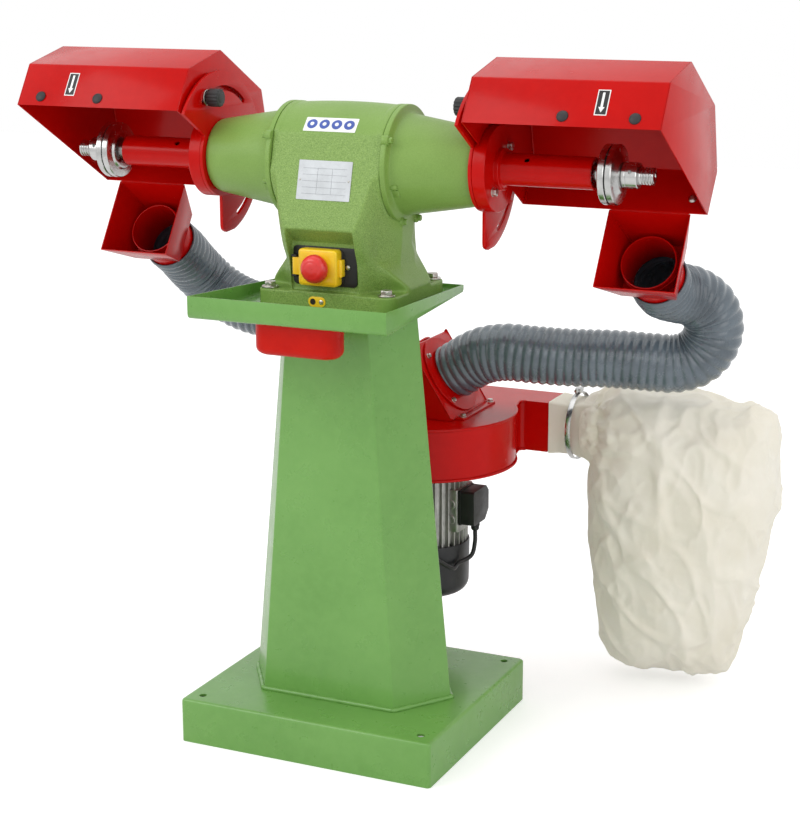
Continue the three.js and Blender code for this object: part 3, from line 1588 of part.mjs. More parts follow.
// Terminal box lid, its gland, the cable and the entry at the column
const lidTop = motorTop - blockLow;
const lidBottom = lidTop - lidHeight;
const lidStart = fanX + blockEnd + gap;
const glandPlace = { x: lidStart + lidDepth * 0.7, y: fanY - lidHalfDepth * 0.2 };
const cableEntry = { x: columnFrontTop * 0.55, z: scrollBottom - bracketHeight * 1.9 };

function terminalLid() {
  const c = lidChamfer;
  const front = fanY - lidHalfDepth;
  const back = fanY + lidHalfDepth;
  const outline = [
    [front, lidBottom], [back - c, lidBottom], [back, lidBottom + c],
    [back, lidTop - c * 0.7], [back - c * 0.7, lidTop], [front, lidTop],
  ];
  const lid = prismX(outline, lidStart, lidStart + lidDepth);
  const hollow = prismX(inset(outline, cowlSheet), lidStart - overrun, lidStart + lidDepth - cowlSheet);
  const hole = discZ(
    glandRadius * 0.82, lidBottom - overrun, lidBottom + overrun, glandPlace.x, glandPlace.y, smallSides,
  );
  return cut(lid, hollow, hole);
}

function cableGland() {
  const top = lidBottom - gap;
  const low = top - glandLength;
  const bore = cableRadius + gap;
  const ring = [
    [bore, low], [glandRadius * 0.75, low], [glandRadius, low + glandLength * 0.25], [glandRadius, top],
    [glandRadius * 0.7, top], [glandRadius * 0.7, top + overrun * 0.8],
    [bore, top + overrun * 0.8], [bore, low],
  ];
  return turnedZ(ring, glandPlace.x, glandPlace.y, smallSides);
}

function columnGrommet() {
  const face = columnBackAt(cableEntry.z);
  const bore = cableRadius + gap;
  return turnedY(
    [
      [bore, face - columnSheet * 2], [glandRadius - gap, face - columnSheet * 2],
      [glandRadius - gap, face + columnSheet / 2], [glandRadius * 1.4, face + columnSheet / 2],
      [glandRadius * 1.2, face + columnSheet], [glandRadius, face + glandRadius],
      [bore, face + glandRadius], [bore, face - columnSheet * 2],
    ],
    cableEntry.x, cableEntry.z, smallSides,
  );
}

// A tube along a smooth route: its rings are square to the route's own direction
function routeFrames(curve, count, up) {
  const frames = [];
  for (let i = 0; i <= count; i++) {
    const u = i / count;
    const tangent = curve.getTangentAt(u);
    const side = new THREE.Vector3().crossVectors(tangent, up).normalize();
    const other = new THREE.Vector3().crossVectors(side, tangent).normalize();
    frames.push({ middle: curve.getPointAt(u), side, other });
  }
  return frames;
}

function ringOn({ middle, side, other }, radius, points) {
  const ring = [];
  for (let k = 0; k < points; k++) {
    const a = (2 * Math.PI * k) / points;
    const p = middle.clone().addScaledVector(side, radius * Math.cos(a));
    p.addScaledVector(other, radius * Math.sin(a));
    ring.push([p.x, p.y, p.z]);
  }
  return ring;
}

// The points of a route, shifted along with its ends
function shiftedRoute(route, start, end) {
  const startShift = start.clone().sub(new THREE.Vector3(...route.start));
  const endShift = end.clone().sub(new THREE.Vector3(...route.end));
  const last = route.points.length + 1;
  return route.points.map((point, i) => {
    const shift = startShift.clone().lerp(endShift, (i + 1) / last);
    return new THREE.Vector3(...point).add(shift);
  });
}

function motorCable() {
  const start = new THREE.Vector3(glandPlace.x, glandPlace.y, lidBottom - gap - glandLength - gap);
  const endY = columnBackAt(cableEntry.z) + glandRadius + gap;
  const end = new THREE.Vector3(cableEntry.x, endY, cableEntry.z);
  const points = [start, ...shiftedRoute(cableRoute, start, end), end];
  const curve = new THREE.CatmullRomCurve3(points, false, "centripetal");
  const up = new THREE.Vector3().subVectors(end, start).cross(axisX).normalize();
  return loft(routeFrames(curve, cableSteps, up).map((frame) => ringOn(frame, cableRadius, cableSides)));
}

// Ribbed hose: ribs outside, a plain bore inside, the ends running straight over their stubs
function hoseCurve(start, startAxis, end, endAxis, route) {
  const straight = hoseRadius * 2 + hoseWall;
  const from = (point, axis, share) => point.clone().addScaledVector(axis, straight * share);
  const points = [
    start, from(start, startAxis, 0.25), from(start, startAxis, 0.5), ...shiftedRoute(route, start, end),
    from(end, endAxis, 0.5), from(end, endAxis, 0.25), end,
  ];
  return new THREE.CatmullRomCurve3(points, false, "centripetal");
}

function ribbedHose(curve) {
  const length = curve.getLength();
  const ribs = Math.round(length / hosePitch);
  const frames = routeFrames(curve, ribs * 2, axisZ);
  const valley = hoseRadius + hoseWall;
  const rings = frames.map((frame, i) => ringOn(frame, valley + (i % 2 ? hoseRib : 0), hoseSides));
  const last = frames.length - 1;
  const bore = [];
  for (let i = 0; i < last - 6; i += 4) {
    bore.push(ringOn(frames[i], i < 5 ? hoseRadius : hoseBore, hoseSides));
  }
  for (const i of [last - 4, last]) bore.push(ringOn(frames[i], hoseRadius, hoseSides));
  const all = [...rings, ...bore.reverse()];
  const positions = [];
  for (const ring of all) {
    for (const point of ring) positions.push(...point);
  }
  const index = [];
  for (let r = 0; r < all.length; r++) {
    const next = (r + 1) % all.length;
    for (let i = 0; i < hoseSides; i++) {
      const j = (i + 1) % hoseSides;
      const [a, b] = [r * hoseSides, next * hoseSides];
      index.push(a + i, a + j, b + j, a + i, b + j, b + i);
    }
  }
  const solid = toSolid(indexed(positions, index));
  return { solid, length, least: leastGap(frames), bend: tightestBend(frames) };
}

function tightestBend(frames) {
  let least = Infinity;
  for (let i = 2; i + 2 < frames.length; i++) {
    const a = frames[i].middle.clone().sub(frames[i - 2].middle);
    const b = frames[i + 2].middle.clone().sub(frames[i].middle);
    least = Math.min(least, (a.length() + b.length()) / 2 / a.angleTo(b));
  }
  return least;
}

// Least distance between stretches of the hose that aren't neighbours along it
function leastGap(frames) {
  const reach = hoseRadius + hoseWall + hoseRib;
  const step = frames[0].middle.distanceTo(frames[1].middle);
  const apart = Math.ceil((4 * reach) / step);
  let least = Infinity;
  for (let i = 0; i < frames.length; i++) {
    for (let j = i + apart; j < frames.length; j++) {
      least = Math.min(least, frames[i].middle.distanceTo(frames[j].middle) - 2 * reach);
    }
  }
  return least;
}

function hoses() {
  const made = {};
  for (const [side, sign] of [["left", -1], ["right", 1]]) {
    const from = stubEnd - hoseOverlap;
    const [sx, sy, sz] = chutePoint(0, 0, from);
    const start = new THREE.Vector3(sign * sx, sy, sz);
    const startAxis = new THREE.Vector3(0, stubAxis[0], stubAxis[1]);
    const along = collarLength - hoseCollarOverlap;
    const endAxis = new THREE.Vector3(sign * slopeNormal[0], 0, slopeNormal[1]);
    const end = new THREE.Vector3(fanX + sign * slopeMiddle[0], fanY, slopeMiddle[1]);
    end.addScaledVector(endAxis, along);
    made[side] = ribbedHose(hoseCurve(start, startAxis, end, endAxis, hoseRoutes[side]));
    made[side].ends = [start, end];
  }
  return made;
}

// Bracket, bag and clamp

function fanBracket() {
  const top = scrollBottom - gap;
  const low = top - bracketHeight;
  const wallAt = (z) => columnBackAt(z) + gap;
  const shelfEnd = wallAt(top) + bracketReach;
  const heel = [[wallAt(low), low], [wallAt(low) + bracketSheet, low]];
  const corner = [wallAt(top), top];
  const end = [[shelfEnd, top - bracketSheet], [shelfEnd, top]];
  const rib = [...heel, ...end, corner];
  const plate = [...heel, [wallAt(top) + bracketSheet, top], corner];
  const shelf = [[wallAt(top), top - bracketSheet], ...end, corner];
  const half = bracketHalfWidth;
  const motorClear = discZ(motorFlangeRadius + gap * 4, low - overrun, top + overrun, fanX, fanY);
  return cut(
    join(
      prismX(plate, -half, half), prismX(shelf, -half, half),
      prismX(rib, -half, -half + bracketSheet), prismX(rib, half - bracketSheet, half),
    ),
    motorClear,
  );
}

const outletMiddleY = (outletBack + outletFront) / 2;
const outletMiddleZ = (scrollTop + scrollBottom) / 2;

function bagClamp() {
  const band = turnedX(
    ringProfile(clampRadius, clampRadius + clampBand, clampAt, clampAt + clampWidth),
    outletMiddleY, outletMiddleZ,
  );
  const top = outletMiddleZ + clampRadius;
  const worm = box(
    clampAt - clampBand, clampAt + clampWidth + clampBand,
    outletMiddleY - clampWorm, outletMiddleY + clampWorm, top, top + clampWorm * 0.6,
  );
  return join(band, worm);
}

function bagForm(drawnIn, low, high) {
  const power = 0.75;
  const rings = bagShares.map(([share, shift, wide, deep]) =>
    circle(0, 0, 1, bagSides).map(([c, s]) => {
      const across = Math.sign(c) * Math.abs(c) ** power;
      const along = Math.sign(s) * Math.abs(s) ** power;
      return [
        bagMiddle + bagReach * shift + (bagReach * wide - drawnIn) * across,
        outletMiddleY + (bagDepth * deep - drawnIn) * along,
        low + (high - low) * share,
      ];
    }),
  );
  return loft(rings);
}

// The cloth over the outlet's neck, from the square duct to the bag
function clothNeck(inner) {
  const end = spigotEnd + clampWidth;
  const clear = inner - spigotRadius;
  const thick = clampRadius - gap - inner;
  const outside = outletNeck(clear + thick, end);
  const inside = outletNeck(clear, end + overrun);
  const reach = scrollHeight;
  const duct = box(
    outletEnd - overrun, neckStart, outletMiddleY - reach, outletMiddleY + reach, outletMiddleZ - reach,
    outletMiddleZ + reach,
  );
  return cut(outside, inside, duct);
}

function dustBag() {
  const cloth = bagForm(0, bagBottom, bagTop);
  const hollow = bagForm(bagCloth * 1.5, bagBottom + bagCloth, bagTop - bagCloth);
  const inner = spigotRadius + gap;
  const neck = clothNeck(inner);
  const room = discX(inner, spigotStart, bagMiddle, outletMiddleY, outletMiddleZ);
  return cut(join(cloth, neck), cut(hollow, neck), room);
}

// Put the machine together

piece(machine, "pedestal_base", pedestalBase(), green);
piece(machine, "column", column(), green);
piece(machine, "column_top_plate", columnTopPlate(), green);
piece(machine, "tray", tray(), green);
piece(machine, "water_pot", waterPot(), red);
piece(machine, "motor_housing", motorHousing(), castingGreen);
for (const [name, x, y] of boltPlaces()) piece(machine, "foot_bolt_" + name, footBolt(x, y), steel);
piece(machine, "stator_core", statorCore(), castIron);
piece(machine, "rotor_core", rotorCore(), castIron);
piece(machine, "spindle_shaft", spindleShaft(), steel);

pieceOnBothSides("end_bell", endBell(), castingGreen);
const innerBearing = bearing(innerBearingRadius, bellEnd - bellWall - bearingWidth - gap, bearingWidth);
const outerBearing = bearing(outerBearingRadius, tubeEnd - outerBearingWidth * 1.5, outerBearingWidth);
pieceOnBothSides("inner_bearing", innerBearing, steel);
pieceOnBothSides("outer_bearing", outerBearing, steel);
pieceOnBothSides("adjuster_plate", adjusterPlate(), red);
pieceOnBothSides("spindle_tube", spindleTube(), red);
pieceOnBothSides("clamp_knob", clampKnob(), black);
pieceOnBothSides("hood", hood(), red);
pieceOnBothSides("chute", chute(), red);
pieceOnBothSides("inner_wheel_flange", wheelFlange(wheelFlangeStart, -1), steel);
pieceOnBothSides("outer_wheel_flange", wheelFlange(outerFlangeStart, 1), steel);
pieceOnBothSides("spindle_nut", spindleNut(), steel);

piece(machine, "switch_plate", switchPlate(), black);
piece(machine, "switch_frame", switchFrame(), black);
piece(machine, "switch_flap", switchFlap(), yellow);
piece(machine, "stop_mushroom", stopMushroom(), switchRed);
piece(machine, "stop_plunger", pushButton(switchAcross), switchRed);
piece(machine, "start_button", pushButton(switchAcross + startAcross), buttonGreen);

piece(machine, "fan_scroll", fanScroll(), red);
piece(machine, "fan_inlet_box", inletBox(), red);
const collar = inletCollar();
piece(machine, "right_inlet_collar", collar, red);
piece(machine, "left_inlet_collar", mirroredAboutFan(collar), red);
piece(machine, "impeller", impeller(), aluminium);
piece(machine, "fan_motor_frame", fanMotorFrame(), aluminium);
piece(machine, "fan_motor_stator", fanStator(), castIron);
piece(machine, "fan_motor_shaft", fanShaft(), steel);
piece(machine, "cooling_fan", coolingFan(), black);
piece(machine, "fan_motor_cowl", fanCowl(), black);
piece(machine, "terminal_box_lid", terminalLid(), black);
piece(machine, "cable_gland", cableGland(), black);
piece(machine, "column_cable_grommet", columnGrommet(), black);
piece(machine, "motor_cable", motorCable(), black);
piece(machine, "fan_bracket", fanBracket(), green);
piece(machine, "dust_bag", dustBag(), cotton);
piece(machine, "bag_clamp", bagClamp(), steel);
for (const [side, hose] of Object.entries(hoses())) {
  piece(machine, side + "_hose", hose.solid, hoseGrey);
  const figures = [hose.length, hose.bend, hose.least].map((value) => value.toFixed(1));
  const ends = hose.ends.map((end) => end.toArray().map((value) => value.toFixed(2)).join(" ")).join(" to ");
  const [length, bend, least] = figures;
  console.log(side + " hose: length " + length + ", tightest bend " + bend + ", least gap " + least);
  console.log(side + " hose: from " + ends);
}

// The group's origin goes to the floor under the middle of everything but the cords
const cordNames = ["motor_cable", "left_hose", "right_hose"];
machine.updateMatrixWorld(true);
const bounds = new THREE.Box3();
machine.traverse((node) => {
  if (node.isMesh && !cordNames.includes(node.name)) bounds.expandByObject(node);
});
const middle = bounds.getCenter(new THREE.Vector3());
machine.position.set(-middle.x, -middle.y, -bounds.min.z);
console.log("origin lies at " + middle.x.toFixed(2) + ", " + middle.y.toFixed(2) + " of the machine's frame");

const part = new THREE.Group();
part.add(machine);
export default part;
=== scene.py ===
"""Visual model of the pedestal polishing machine.

Lengths are millimetres in the machine's own frame: X along the spindle, Y to the back, Z up, the
column's base in the middle. place() turns them into metres in the row frame.
"""
import math

import bmesh
import bpy
from mathutils import Matrix, Vector, noise
from mathutils.geometry import tessellate_polygon


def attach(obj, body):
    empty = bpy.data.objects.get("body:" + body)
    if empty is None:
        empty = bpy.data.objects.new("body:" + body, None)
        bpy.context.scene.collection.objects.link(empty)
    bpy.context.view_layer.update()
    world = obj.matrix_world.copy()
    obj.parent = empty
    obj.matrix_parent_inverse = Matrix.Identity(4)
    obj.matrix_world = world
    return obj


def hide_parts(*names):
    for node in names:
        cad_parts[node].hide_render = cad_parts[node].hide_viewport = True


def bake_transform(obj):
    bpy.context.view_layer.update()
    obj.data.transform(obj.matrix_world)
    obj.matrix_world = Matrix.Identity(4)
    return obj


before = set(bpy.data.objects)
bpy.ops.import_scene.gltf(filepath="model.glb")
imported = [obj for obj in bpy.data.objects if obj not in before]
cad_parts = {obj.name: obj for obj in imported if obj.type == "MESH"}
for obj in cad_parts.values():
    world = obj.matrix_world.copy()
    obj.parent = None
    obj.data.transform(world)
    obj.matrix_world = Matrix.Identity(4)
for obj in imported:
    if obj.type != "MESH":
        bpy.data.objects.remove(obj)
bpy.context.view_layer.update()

MM = 0.001
ORIGIN = Vector((38.5, 151.6, 0.0))
X, Y, Z = Vector((1, 0, 0)), Vector((0, 1, 0)), Vector((0, 0, 1))
AXIS_Y, AXIS_Z = -12.5, 1055.4
SPINDLE = Vector((0.0, AXIS_Y, AXIS_Z))
FACE_Y = -20.0
FOOT_Y = -6.5
SWITCH_X, SWITCH_Z = -4.0, 884.0
FULL_TURN = 2 * math.pi
SIDES = (("right", 1), ("left", -1))


def place(p):
    return (Vector(p) - ORIGIN) * MM


def back_to_mm(p):
    return Vector(p) / MM + ORIGIN


# Camera

VIEW_AZIMUTH, VIEW_ELEVATION, VIEW_ROLL = math.radians(24.862), math.radians(14.058), math.radians(-0.108)
VIEW_CENTRE = Vector((90.324, 0, 596.151))
VIEW_DISTANCE = 3426.926
FOCAL_PIXELS, PICTURE_PIXELS, SENSOR = 1902.961, 837, 36


def make_camera():
    back = Vector((
        math.sin(VIEW_AZIMUTH) * math.cos(VIEW_ELEVATION),
        -math.cos(VIEW_AZIMUTH) * math.cos(VIEW_ELEVATION),
        math.sin(VIEW_ELEVATION),
    ))
    right = Vector((math.cos(VIEW_AZIMUTH), math.sin(VIEW_AZIMUTH), 0))
    up = back.cross(right)
    across = right * math.cos(VIEW_ROLL) + up * math.sin(VIEW_ROLL)
    upward = up * math.cos(VIEW_ROLL) - right * math.sin(VIEW_ROLL)
    data = bpy.data.cameras.new("photo_camera")
    data.lens = FOCAL_PIXELS / PICTURE_PIXELS * SENSOR
    data.sensor_width = SENSOR
    camera = bpy.data.objects.new("photo_camera", data)
    bpy.context.scene.collection.objects.link(camera)
    turn = Matrix((across, upward, back)).transposed().to_4x4()
    camera.matrix_world = Matrix.Translation(place(VIEW_CENTRE + back * VIEW_DISTANCE)) @ turn
    bpy.context.scene.camera = camera


make_camera()


# Mesh parts: each is a list of points in millimetres and a list of faces

def merge(*parts):
    points, faces = [], []
    for part_points, part_faces in parts:
        base = len(points)
        points += part_points
        faces += [tuple(base + i for i in face) for face in part_faces]
    return points, faces


def mirrored(part):
    points, faces = part
    return [Vector((-p[0], p[1], p[2])) for p in points], [tuple(reversed(f)) for f in faces]


def band(first, second, count):
    """Faces between two rings of points that start at first and second."""
    steps = [(i, (i + 1) % count) for i in range(count)]
    return [(first + i, first + j, second + j, second + i) for i, j in steps]


def loft(rings, closed=False):
    """A skin through rings, with end faces, or closed from the last ring to the first."""
    n, last = len(rings[0]), len(rings) - 1
    points = [Vector(p) for one in rings for p in one]
    faces = [face for r in range(last) for face in band(r * n, (r + 1) * n, n)]
    if closed:
        return points, faces + band(last * n, 0, n)
    return points, faces + [tuple(range(n)), tuple(range(last * n, last * n + n))]


def basis(axis):
    axis = Vector(axis).normalized()
    side = Z if abs(axis.z) < 0.9 else X
    u = side.cross(axis).normalized()
    return axis, u, axis.cross(u)


def turned(levels, radius, centre=SPINDLE, axis=X, sides=96):
    """A skin about an axis. A level starts with its place on it; radius(level, angle) is the distance."""
    axis, u, v = basis(axis)
    rings = []
    for level in levels:
        one = []
        for k in range(sides):
            a = FULL_TURN * k / sides
            away = u * math.cos(a) + v * math.sin(a)
            one.append(Vector(centre) + axis * level[0] + away * radius(level, a))
        rings.append(one)
    return loft(rings)


def lathe(profile, centre=SPINDLE, axis=X, sides=96):
    """A profile of (radius, place along the axis), closed, or ending in poles or flat ends."""
    axis, u, v = basis(axis)
    closed = profile[0] == profile[-1]
    points, rings, faces = [], [], []
    for radius, height in profile[:-1] if closed else profile:
        count = sides if radius > 0 else 1
        rings.append(list(range(len(points), len(points) + count)))
        for k in range(count):
            a = FULL_TURN * k / sides
            points.append(Vector(centre) + axis * height + (u * math.cos(a) + v * math.sin(a)) * radius)
    for one, two in zip(rings, rings[1:] + (rings[:1] if closed else [])):
        for k in range(sides):
            corners = [loop[i % len(loop)] for loop, i in ((one, k), (one, k + 1), (two, k + 1), (two, k))]
            face = tuple(dict.fromkeys(corners))
            if len(face) > 2:
                faces.append(face)
    if not closed:
        faces += [tuple(one) for one in (rings[0], rings[-1]) if len(one) > 1]
    return points, faces


def disc(radius, low, high, centre=SPINDLE, axis=X, sides=64):
    return lathe([(0, low), (radius, low), (radius, high), (0, high)], centre, axis, sides)


def ring(inner, outer, low, high, centre=SPINDLE, axis=X, sides=96):
    profile = [(inner, low), (outer, low), (outer, high), (inner, high), (inner, low)]
    return lathe(profile, centre, axis, sides)


PLANES = {"x": (Y, Z, X), "y": (X, Z, Y), "z": (X, Y, Z)}


def prism(plane, outline, low, high, holes=(), origin=Vector((0, 0, 0))):
    """An outline, with holes, run from low to high across x, y, z or a plane of three directions."""
    u, v, w = PLANES[plane] if isinstance(plane, str) else plane
    loops = [list(outline)] + [list(hole) for hole in holes]
    flat = [p for loop in loops for p in loop]
    count = len(flat)
    points = [origin + u * a + v * b + w * height for height in (low, high) for a, b in flat]
    caps = tessellate_polygon([[Vector((a, b, 0)) for a, b in loop] for loop in loops])
    faces = [tuple(t) for t in caps] + [tuple(i + count for i in reversed(t)) for t in caps]
    start = 0
    for loop in loops:
        faces += band(start, start + count, len(loop))
        start += len(loop)
    return points, faces


def block(x0, x1, y0, y1, z0, z1):
    return prism("z", [(x0, y0), (x1, y0), (x1, y1), (x0, y1)], z0, z1)


def polar(radius, degrees):
    a = math.radians(degrees)
    return radius * math.cos(a), radius * math.sin(a)


def quarter_round(radius, steps=6):
    """(pull, rise) steps of a rounded edge, from the upright to the level."""
    return [(radius - a, b) for a, b in (polar(radius, 90 * k / steps) for k in range(steps + 1))]


def arc(cx, cy, radius, start, end, steps=12):
    turns = [start + (end - start) * i / steps for i in range(steps + 1)]
    return [(cx + a, cy + b) for a, b in (polar(radius, turn) for turn in turns)]


def circle(cx, cy, radius, sides=48):
    return arc(cx, cy, radius, 0, 360 - 360 / sides, sides - 1)


def rounded_rect(half_x, half_y, radius, steps=8):
    x, y = half_x - radius, half_y - radius
    corners = ((x, y, 0), (-x, y, 90), (-x, -y, 180), (x, -y, 270))
    return [p for cx, cy, turn in corners for p in arc(cx, cy, radius, turn, turn + 90, steps)]


def shifted(points, dx, dy):
    return [(x + dx, y + dy) for x, y in points]


def rounded(points, radii, steps=6):
    """The polygon with its corners rounded, always the same count of points for a corner."""
    n = len(points)
    out = []
    for i, (x, y) in enumerate(points):
        radius = radii[i] if isinstance(radii, (list, tuple)) else radii
        before, after = points[i - 1], points[(i + 1) % n]
        a = Vector((before[0] - x, before[1] - y))
        b = Vector((after[0] - x, after[1] - y))
        room = min(a.length, b.length) * 0.49
        a.normalize()
        b.normalize()
        half = math.acos(max(-1, min(1, a.dot(b)))) / 2
        if radius <= 0 or half > 1.56:
            out += [(x, y)] * (steps + 1) if radius > 0 else [(x, y)]
            continue
        reach = min(radius / math.tan(half), room)
        radius = reach * math.tan(half)
        middle = (a + b).normalized() * (radius / math.sin(half))
        start, end = a * reach - middle, b * reach - middle
        one, two = math.atan2(start.y, start.x), math.atan2(end.y, end.x)
        if two - one > math.pi:
            one += FULL_TURN
        if one - two > math.pi:
            two += FULL_TURN
        for k in range(steps + 1):
            t = one + (two - one) * k / steps
            out.append((x + middle.x + radius * math.cos(t), y + middle.y + radius * math.sin(t)))
    return out


def inset(points, distance):
    """The polygon with each side moved in; counterclockwise polygons shrink."""
    n = len(points)
    lines = []
    for i in range(n):
        (x, y), (x2, y2) = points[i], points[(i + 1) % n]
        size = math.hypot(x2 - x, y2 - y)
        nx, ny = -(y2 - y) / size, (x2 - x) / size
        lines.append((nx, ny, nx * x + ny * y + distance))
    out = []
    for i in range(n):
        a, b = lines[i - 1], lines[i]
        det = a[0] * b[1] - a[1] * b[0]
        out.append(((a[2] * b[1] - b[2] * a[1]) / det, (a[0] * b[2] - b[0] * a[2]) / det))
    return out


def about(angle, radius):
    """A (y, z) point about the spindle, its angle counted back from straight up."""
    up, back = polar(radius, angle)
    return AXIS_Y + back, AXIS_Z + up


def clamp(value, low=0.0, high=1.0):
    return min(high, max(low, value))


# Smooth routes

def between(a, b, start, end, t):
    return a * ((end - t) / (end - start)) + b * ((t - start) / (end - start))


def spline(points, step):
    """Evenly spaced points along a centripetal Catmull-Rom curve, and its length."""
    pts = [Vector(p) for p in points]
    pts = [pts[0] * 2 - pts[1]] + pts + [pts[-1] * 2 - pts[-2]]
    fine = []
    for i in range(1, len(pts) - 2):
        p0, p1, p2, p3 = pts[i - 1:i + 3]
        t0 = 0.0
        t1 = t0 + max((p1 - p0).length, 1e-6) ** 0.5
        t2 = t1 + max((p2 - p1).length, 1e-6) ** 0.5
        t3 = t2 + max((p3 - p2).length, 1e-6) ** 0.5
        for k in range(24):
            t = t1 + (t2 - t1) * k / 24
            a1, a2, a3 = between(p0, p1, t0, t1, t), between(p1, p2, t1, t2, t), between(p2, p3, t2, t3, t)
            b1, b2 = between(a1, a2, t0, t2, t), between(a2, a3, t1, t3, t)
            fine.append(between(b1, b2, t1, t2, t))
    fine.append(pts[-2])
    lengths = [0.0]
    for a, b in zip(fine, fine[1:]):
        lengths.append(lengths[-1] + (b - a).length)
    count = max(2, round(lengths[-1] / step))
    out, j = [], 0
    for i in range(count + 1):
        want = lengths[-1] * i / count
        while j + 2 < len(fine) and lengths[j + 1] < want:
            j += 1
        share = (want - lengths[j]) / max(lengths[j + 1] - lengths[j], 1e-9)
        out.append(fine[j].lerp(fine[j + 1], clamp(share, 0, 1)))
    return out, lengths[-1]


def frames_along(path):
    out = []
    side = None
    for i, p in enumerate(path):
        tangent = (path[min(i + 1, len(path) - 1)] - path[max(i - 1, 0)]).normalized()
        if side is None:
            side = tangent.cross(Z if abs(tangent.z) < 0.95 else Y).normalized()
        side = (side - tangent * side.dot(tangent)).normalized()
        out.append((p, side, tangent.cross(side)))
    return out


def tube_rings(path, radius, sides):
    """Rings along points; radius(index, angle) is the size."""
    rings = []
    for i, (p, u, v) in enumerate(frames_along(path)):
        one = []
        for k in range(sides):
            a = FULL_TURN * k / sides
            one.append(p + (u * math.cos(a) + v * math.sin(a)) * radius(i, a))
        rings.append(one)
    return rings


def rod(path, radius, sides):
    return loft(tube_rings(path, lambda i, angle: radius, sides))


def weld(points, radius=2.2, seed=0, closed=False):
    """A weld bead along straight stretches, a little uneven."""
    path = []
    pts = [Vector(p) for p in points] + ([Vector(points[0])] if closed else [])
    for a, b in zip(pts, pts[1:]):
        n = max(2, int((b - a).length / 2.5))
        path += [a.lerp(b, k / n) for k in range(n)]
    path.append(pts[-1])

    def size(i, angle):
        ripple = 0.16 * abs(math.sin(i * 1.7 + seed)) + 0.25 * noise.noise(Vector((i * 0.13, seed * 3.1, 0)))
        return radius * (0.9 + ripple)
    return loft(tube_rings(path, size, 8))


# Pieces. A look is a material and a slot name; a piece is given the material

def raw_piece(name, part, material=None):
    points, faces = part
    mesh = bpy.data.meshes.new(name)
    mesh.from_pydata([place(p) for p in points], [], faces)
    mesh.validate()
    work = bmesh.new()
    work.from_mesh(mesh)
    bmesh.ops.remove_doubles(work, verts=work.verts, dist=1e-6)
    bmesh.ops.recalc_face_normals(work, faces=work.faces)
    work.to_mesh(mesh)
    work.free()
    piece = bpy.data.objects.new(name, mesh)
    bpy.context.scene.collection.objects.link(piece)
    if material:
        mesh.materials.append(material)
    return piece


def build(name, part, look, replaces=None, body="frame", bevel=0.0, smooth=35, cut=(), segments=2, angle=32):
    """Makes a piece. The closed parts in cut are taken out of it before its edges are softened."""
    piece = raw_piece(name, part, look[0])
    if cut:
        carve(piece, *cut)
    if bevel:
        soften(piece, bevel, segments, angle)
    shade(piece, smooth)
    assign(piece, replaces, body)
    return piece


def assign(piece, replaces, body="frame"):
    if body:
        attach(piece, body)
    if replaces:
        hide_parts(replaces)


def on_both(name, part, look, replaces=None, body="frame", cut=(), **options):
    """Builds a part drawn for the right side, and its mirror image. {side} in the names is filled in."""
    for side, sign in SIDES:
        made, *tools = [one if sign > 0 else mirrored(one) for one in (part, *cut)]
        node = replaces and replaces.format(side=side)
        build(side + "_" + name, made, look, node, body.format(side=side), cut=tools, **options)


def soften(piece, bevel, segments=2, angle=32):
    modifier = piece.modifiers.new("edges", "BEVEL")
    modifier.width = bevel * MM
    modifier.segments = segments
    modifier.limit_method = "ANGLE"
    modifier.angle_limit = math.radians(angle)
    modifier.harden_normals = False
    apply_modifiers(piece)


def shade(piece, smooth):
    piece.data.shade_smooth()
    if smooth < 180:
        piece.data.set_sharp_from_angle(angle=math.radians(smooth))


def apply_modifiers(piece):
    bpy.context.view_layer.update()
    graph = bpy.context.evaluated_depsgraph_get()
    mesh = bpy.data.meshes.new_from_object(piece.evaluated_get(graph))
    old = piece.data
    piece.modifiers.clear()
    piece.data = mesh
    mesh.name = old.name + "_made"
    bpy.data.meshes.remove(old)


def carve(piece, *parts):
    """Cuts closed mesh parts out of a piece."""
    tools = [raw_piece("tool", part) for part in parts]
    for tool in tools:
        modifier = piece.modifiers.new("cut", "BOOLEAN")
        modifier.operation = "DIFFERENCE"
        modifier.solver = "EXACT"
        modifier.object = tool
    apply_modifiers(piece)
    for tool in tools:
        mesh = tool.data
        bpy.data.objects.remove(tool)
        bpy.data.meshes.remove(mesh)


def remesh(piece, voxel, smoothing):
    modifier = piece.modifiers.new("skin", "REMESH")
    modifier.mode = "VOXEL"
    modifier.voxel_size = voxel * MM
    modifier.use_smooth_shade = True
    modifier = piece.modifiers.new("relax", "SMOOTH")
    modifier.factor = 0.5
    modifier.iterations = smoothing
    apply_modifiers(piece)
    piece.data.shade_smooth()


# Materials

def linear(r, g, b):
    """A colour given in 0 to 255 as it looks on a screen."""
    shares = [c / 255 for c in (r, g, b)]
    return (*[c / 12.92 if c <= 0.04045 else ((c + 0.055) / 1.055) ** 2.4 for c in shares], 1.0)


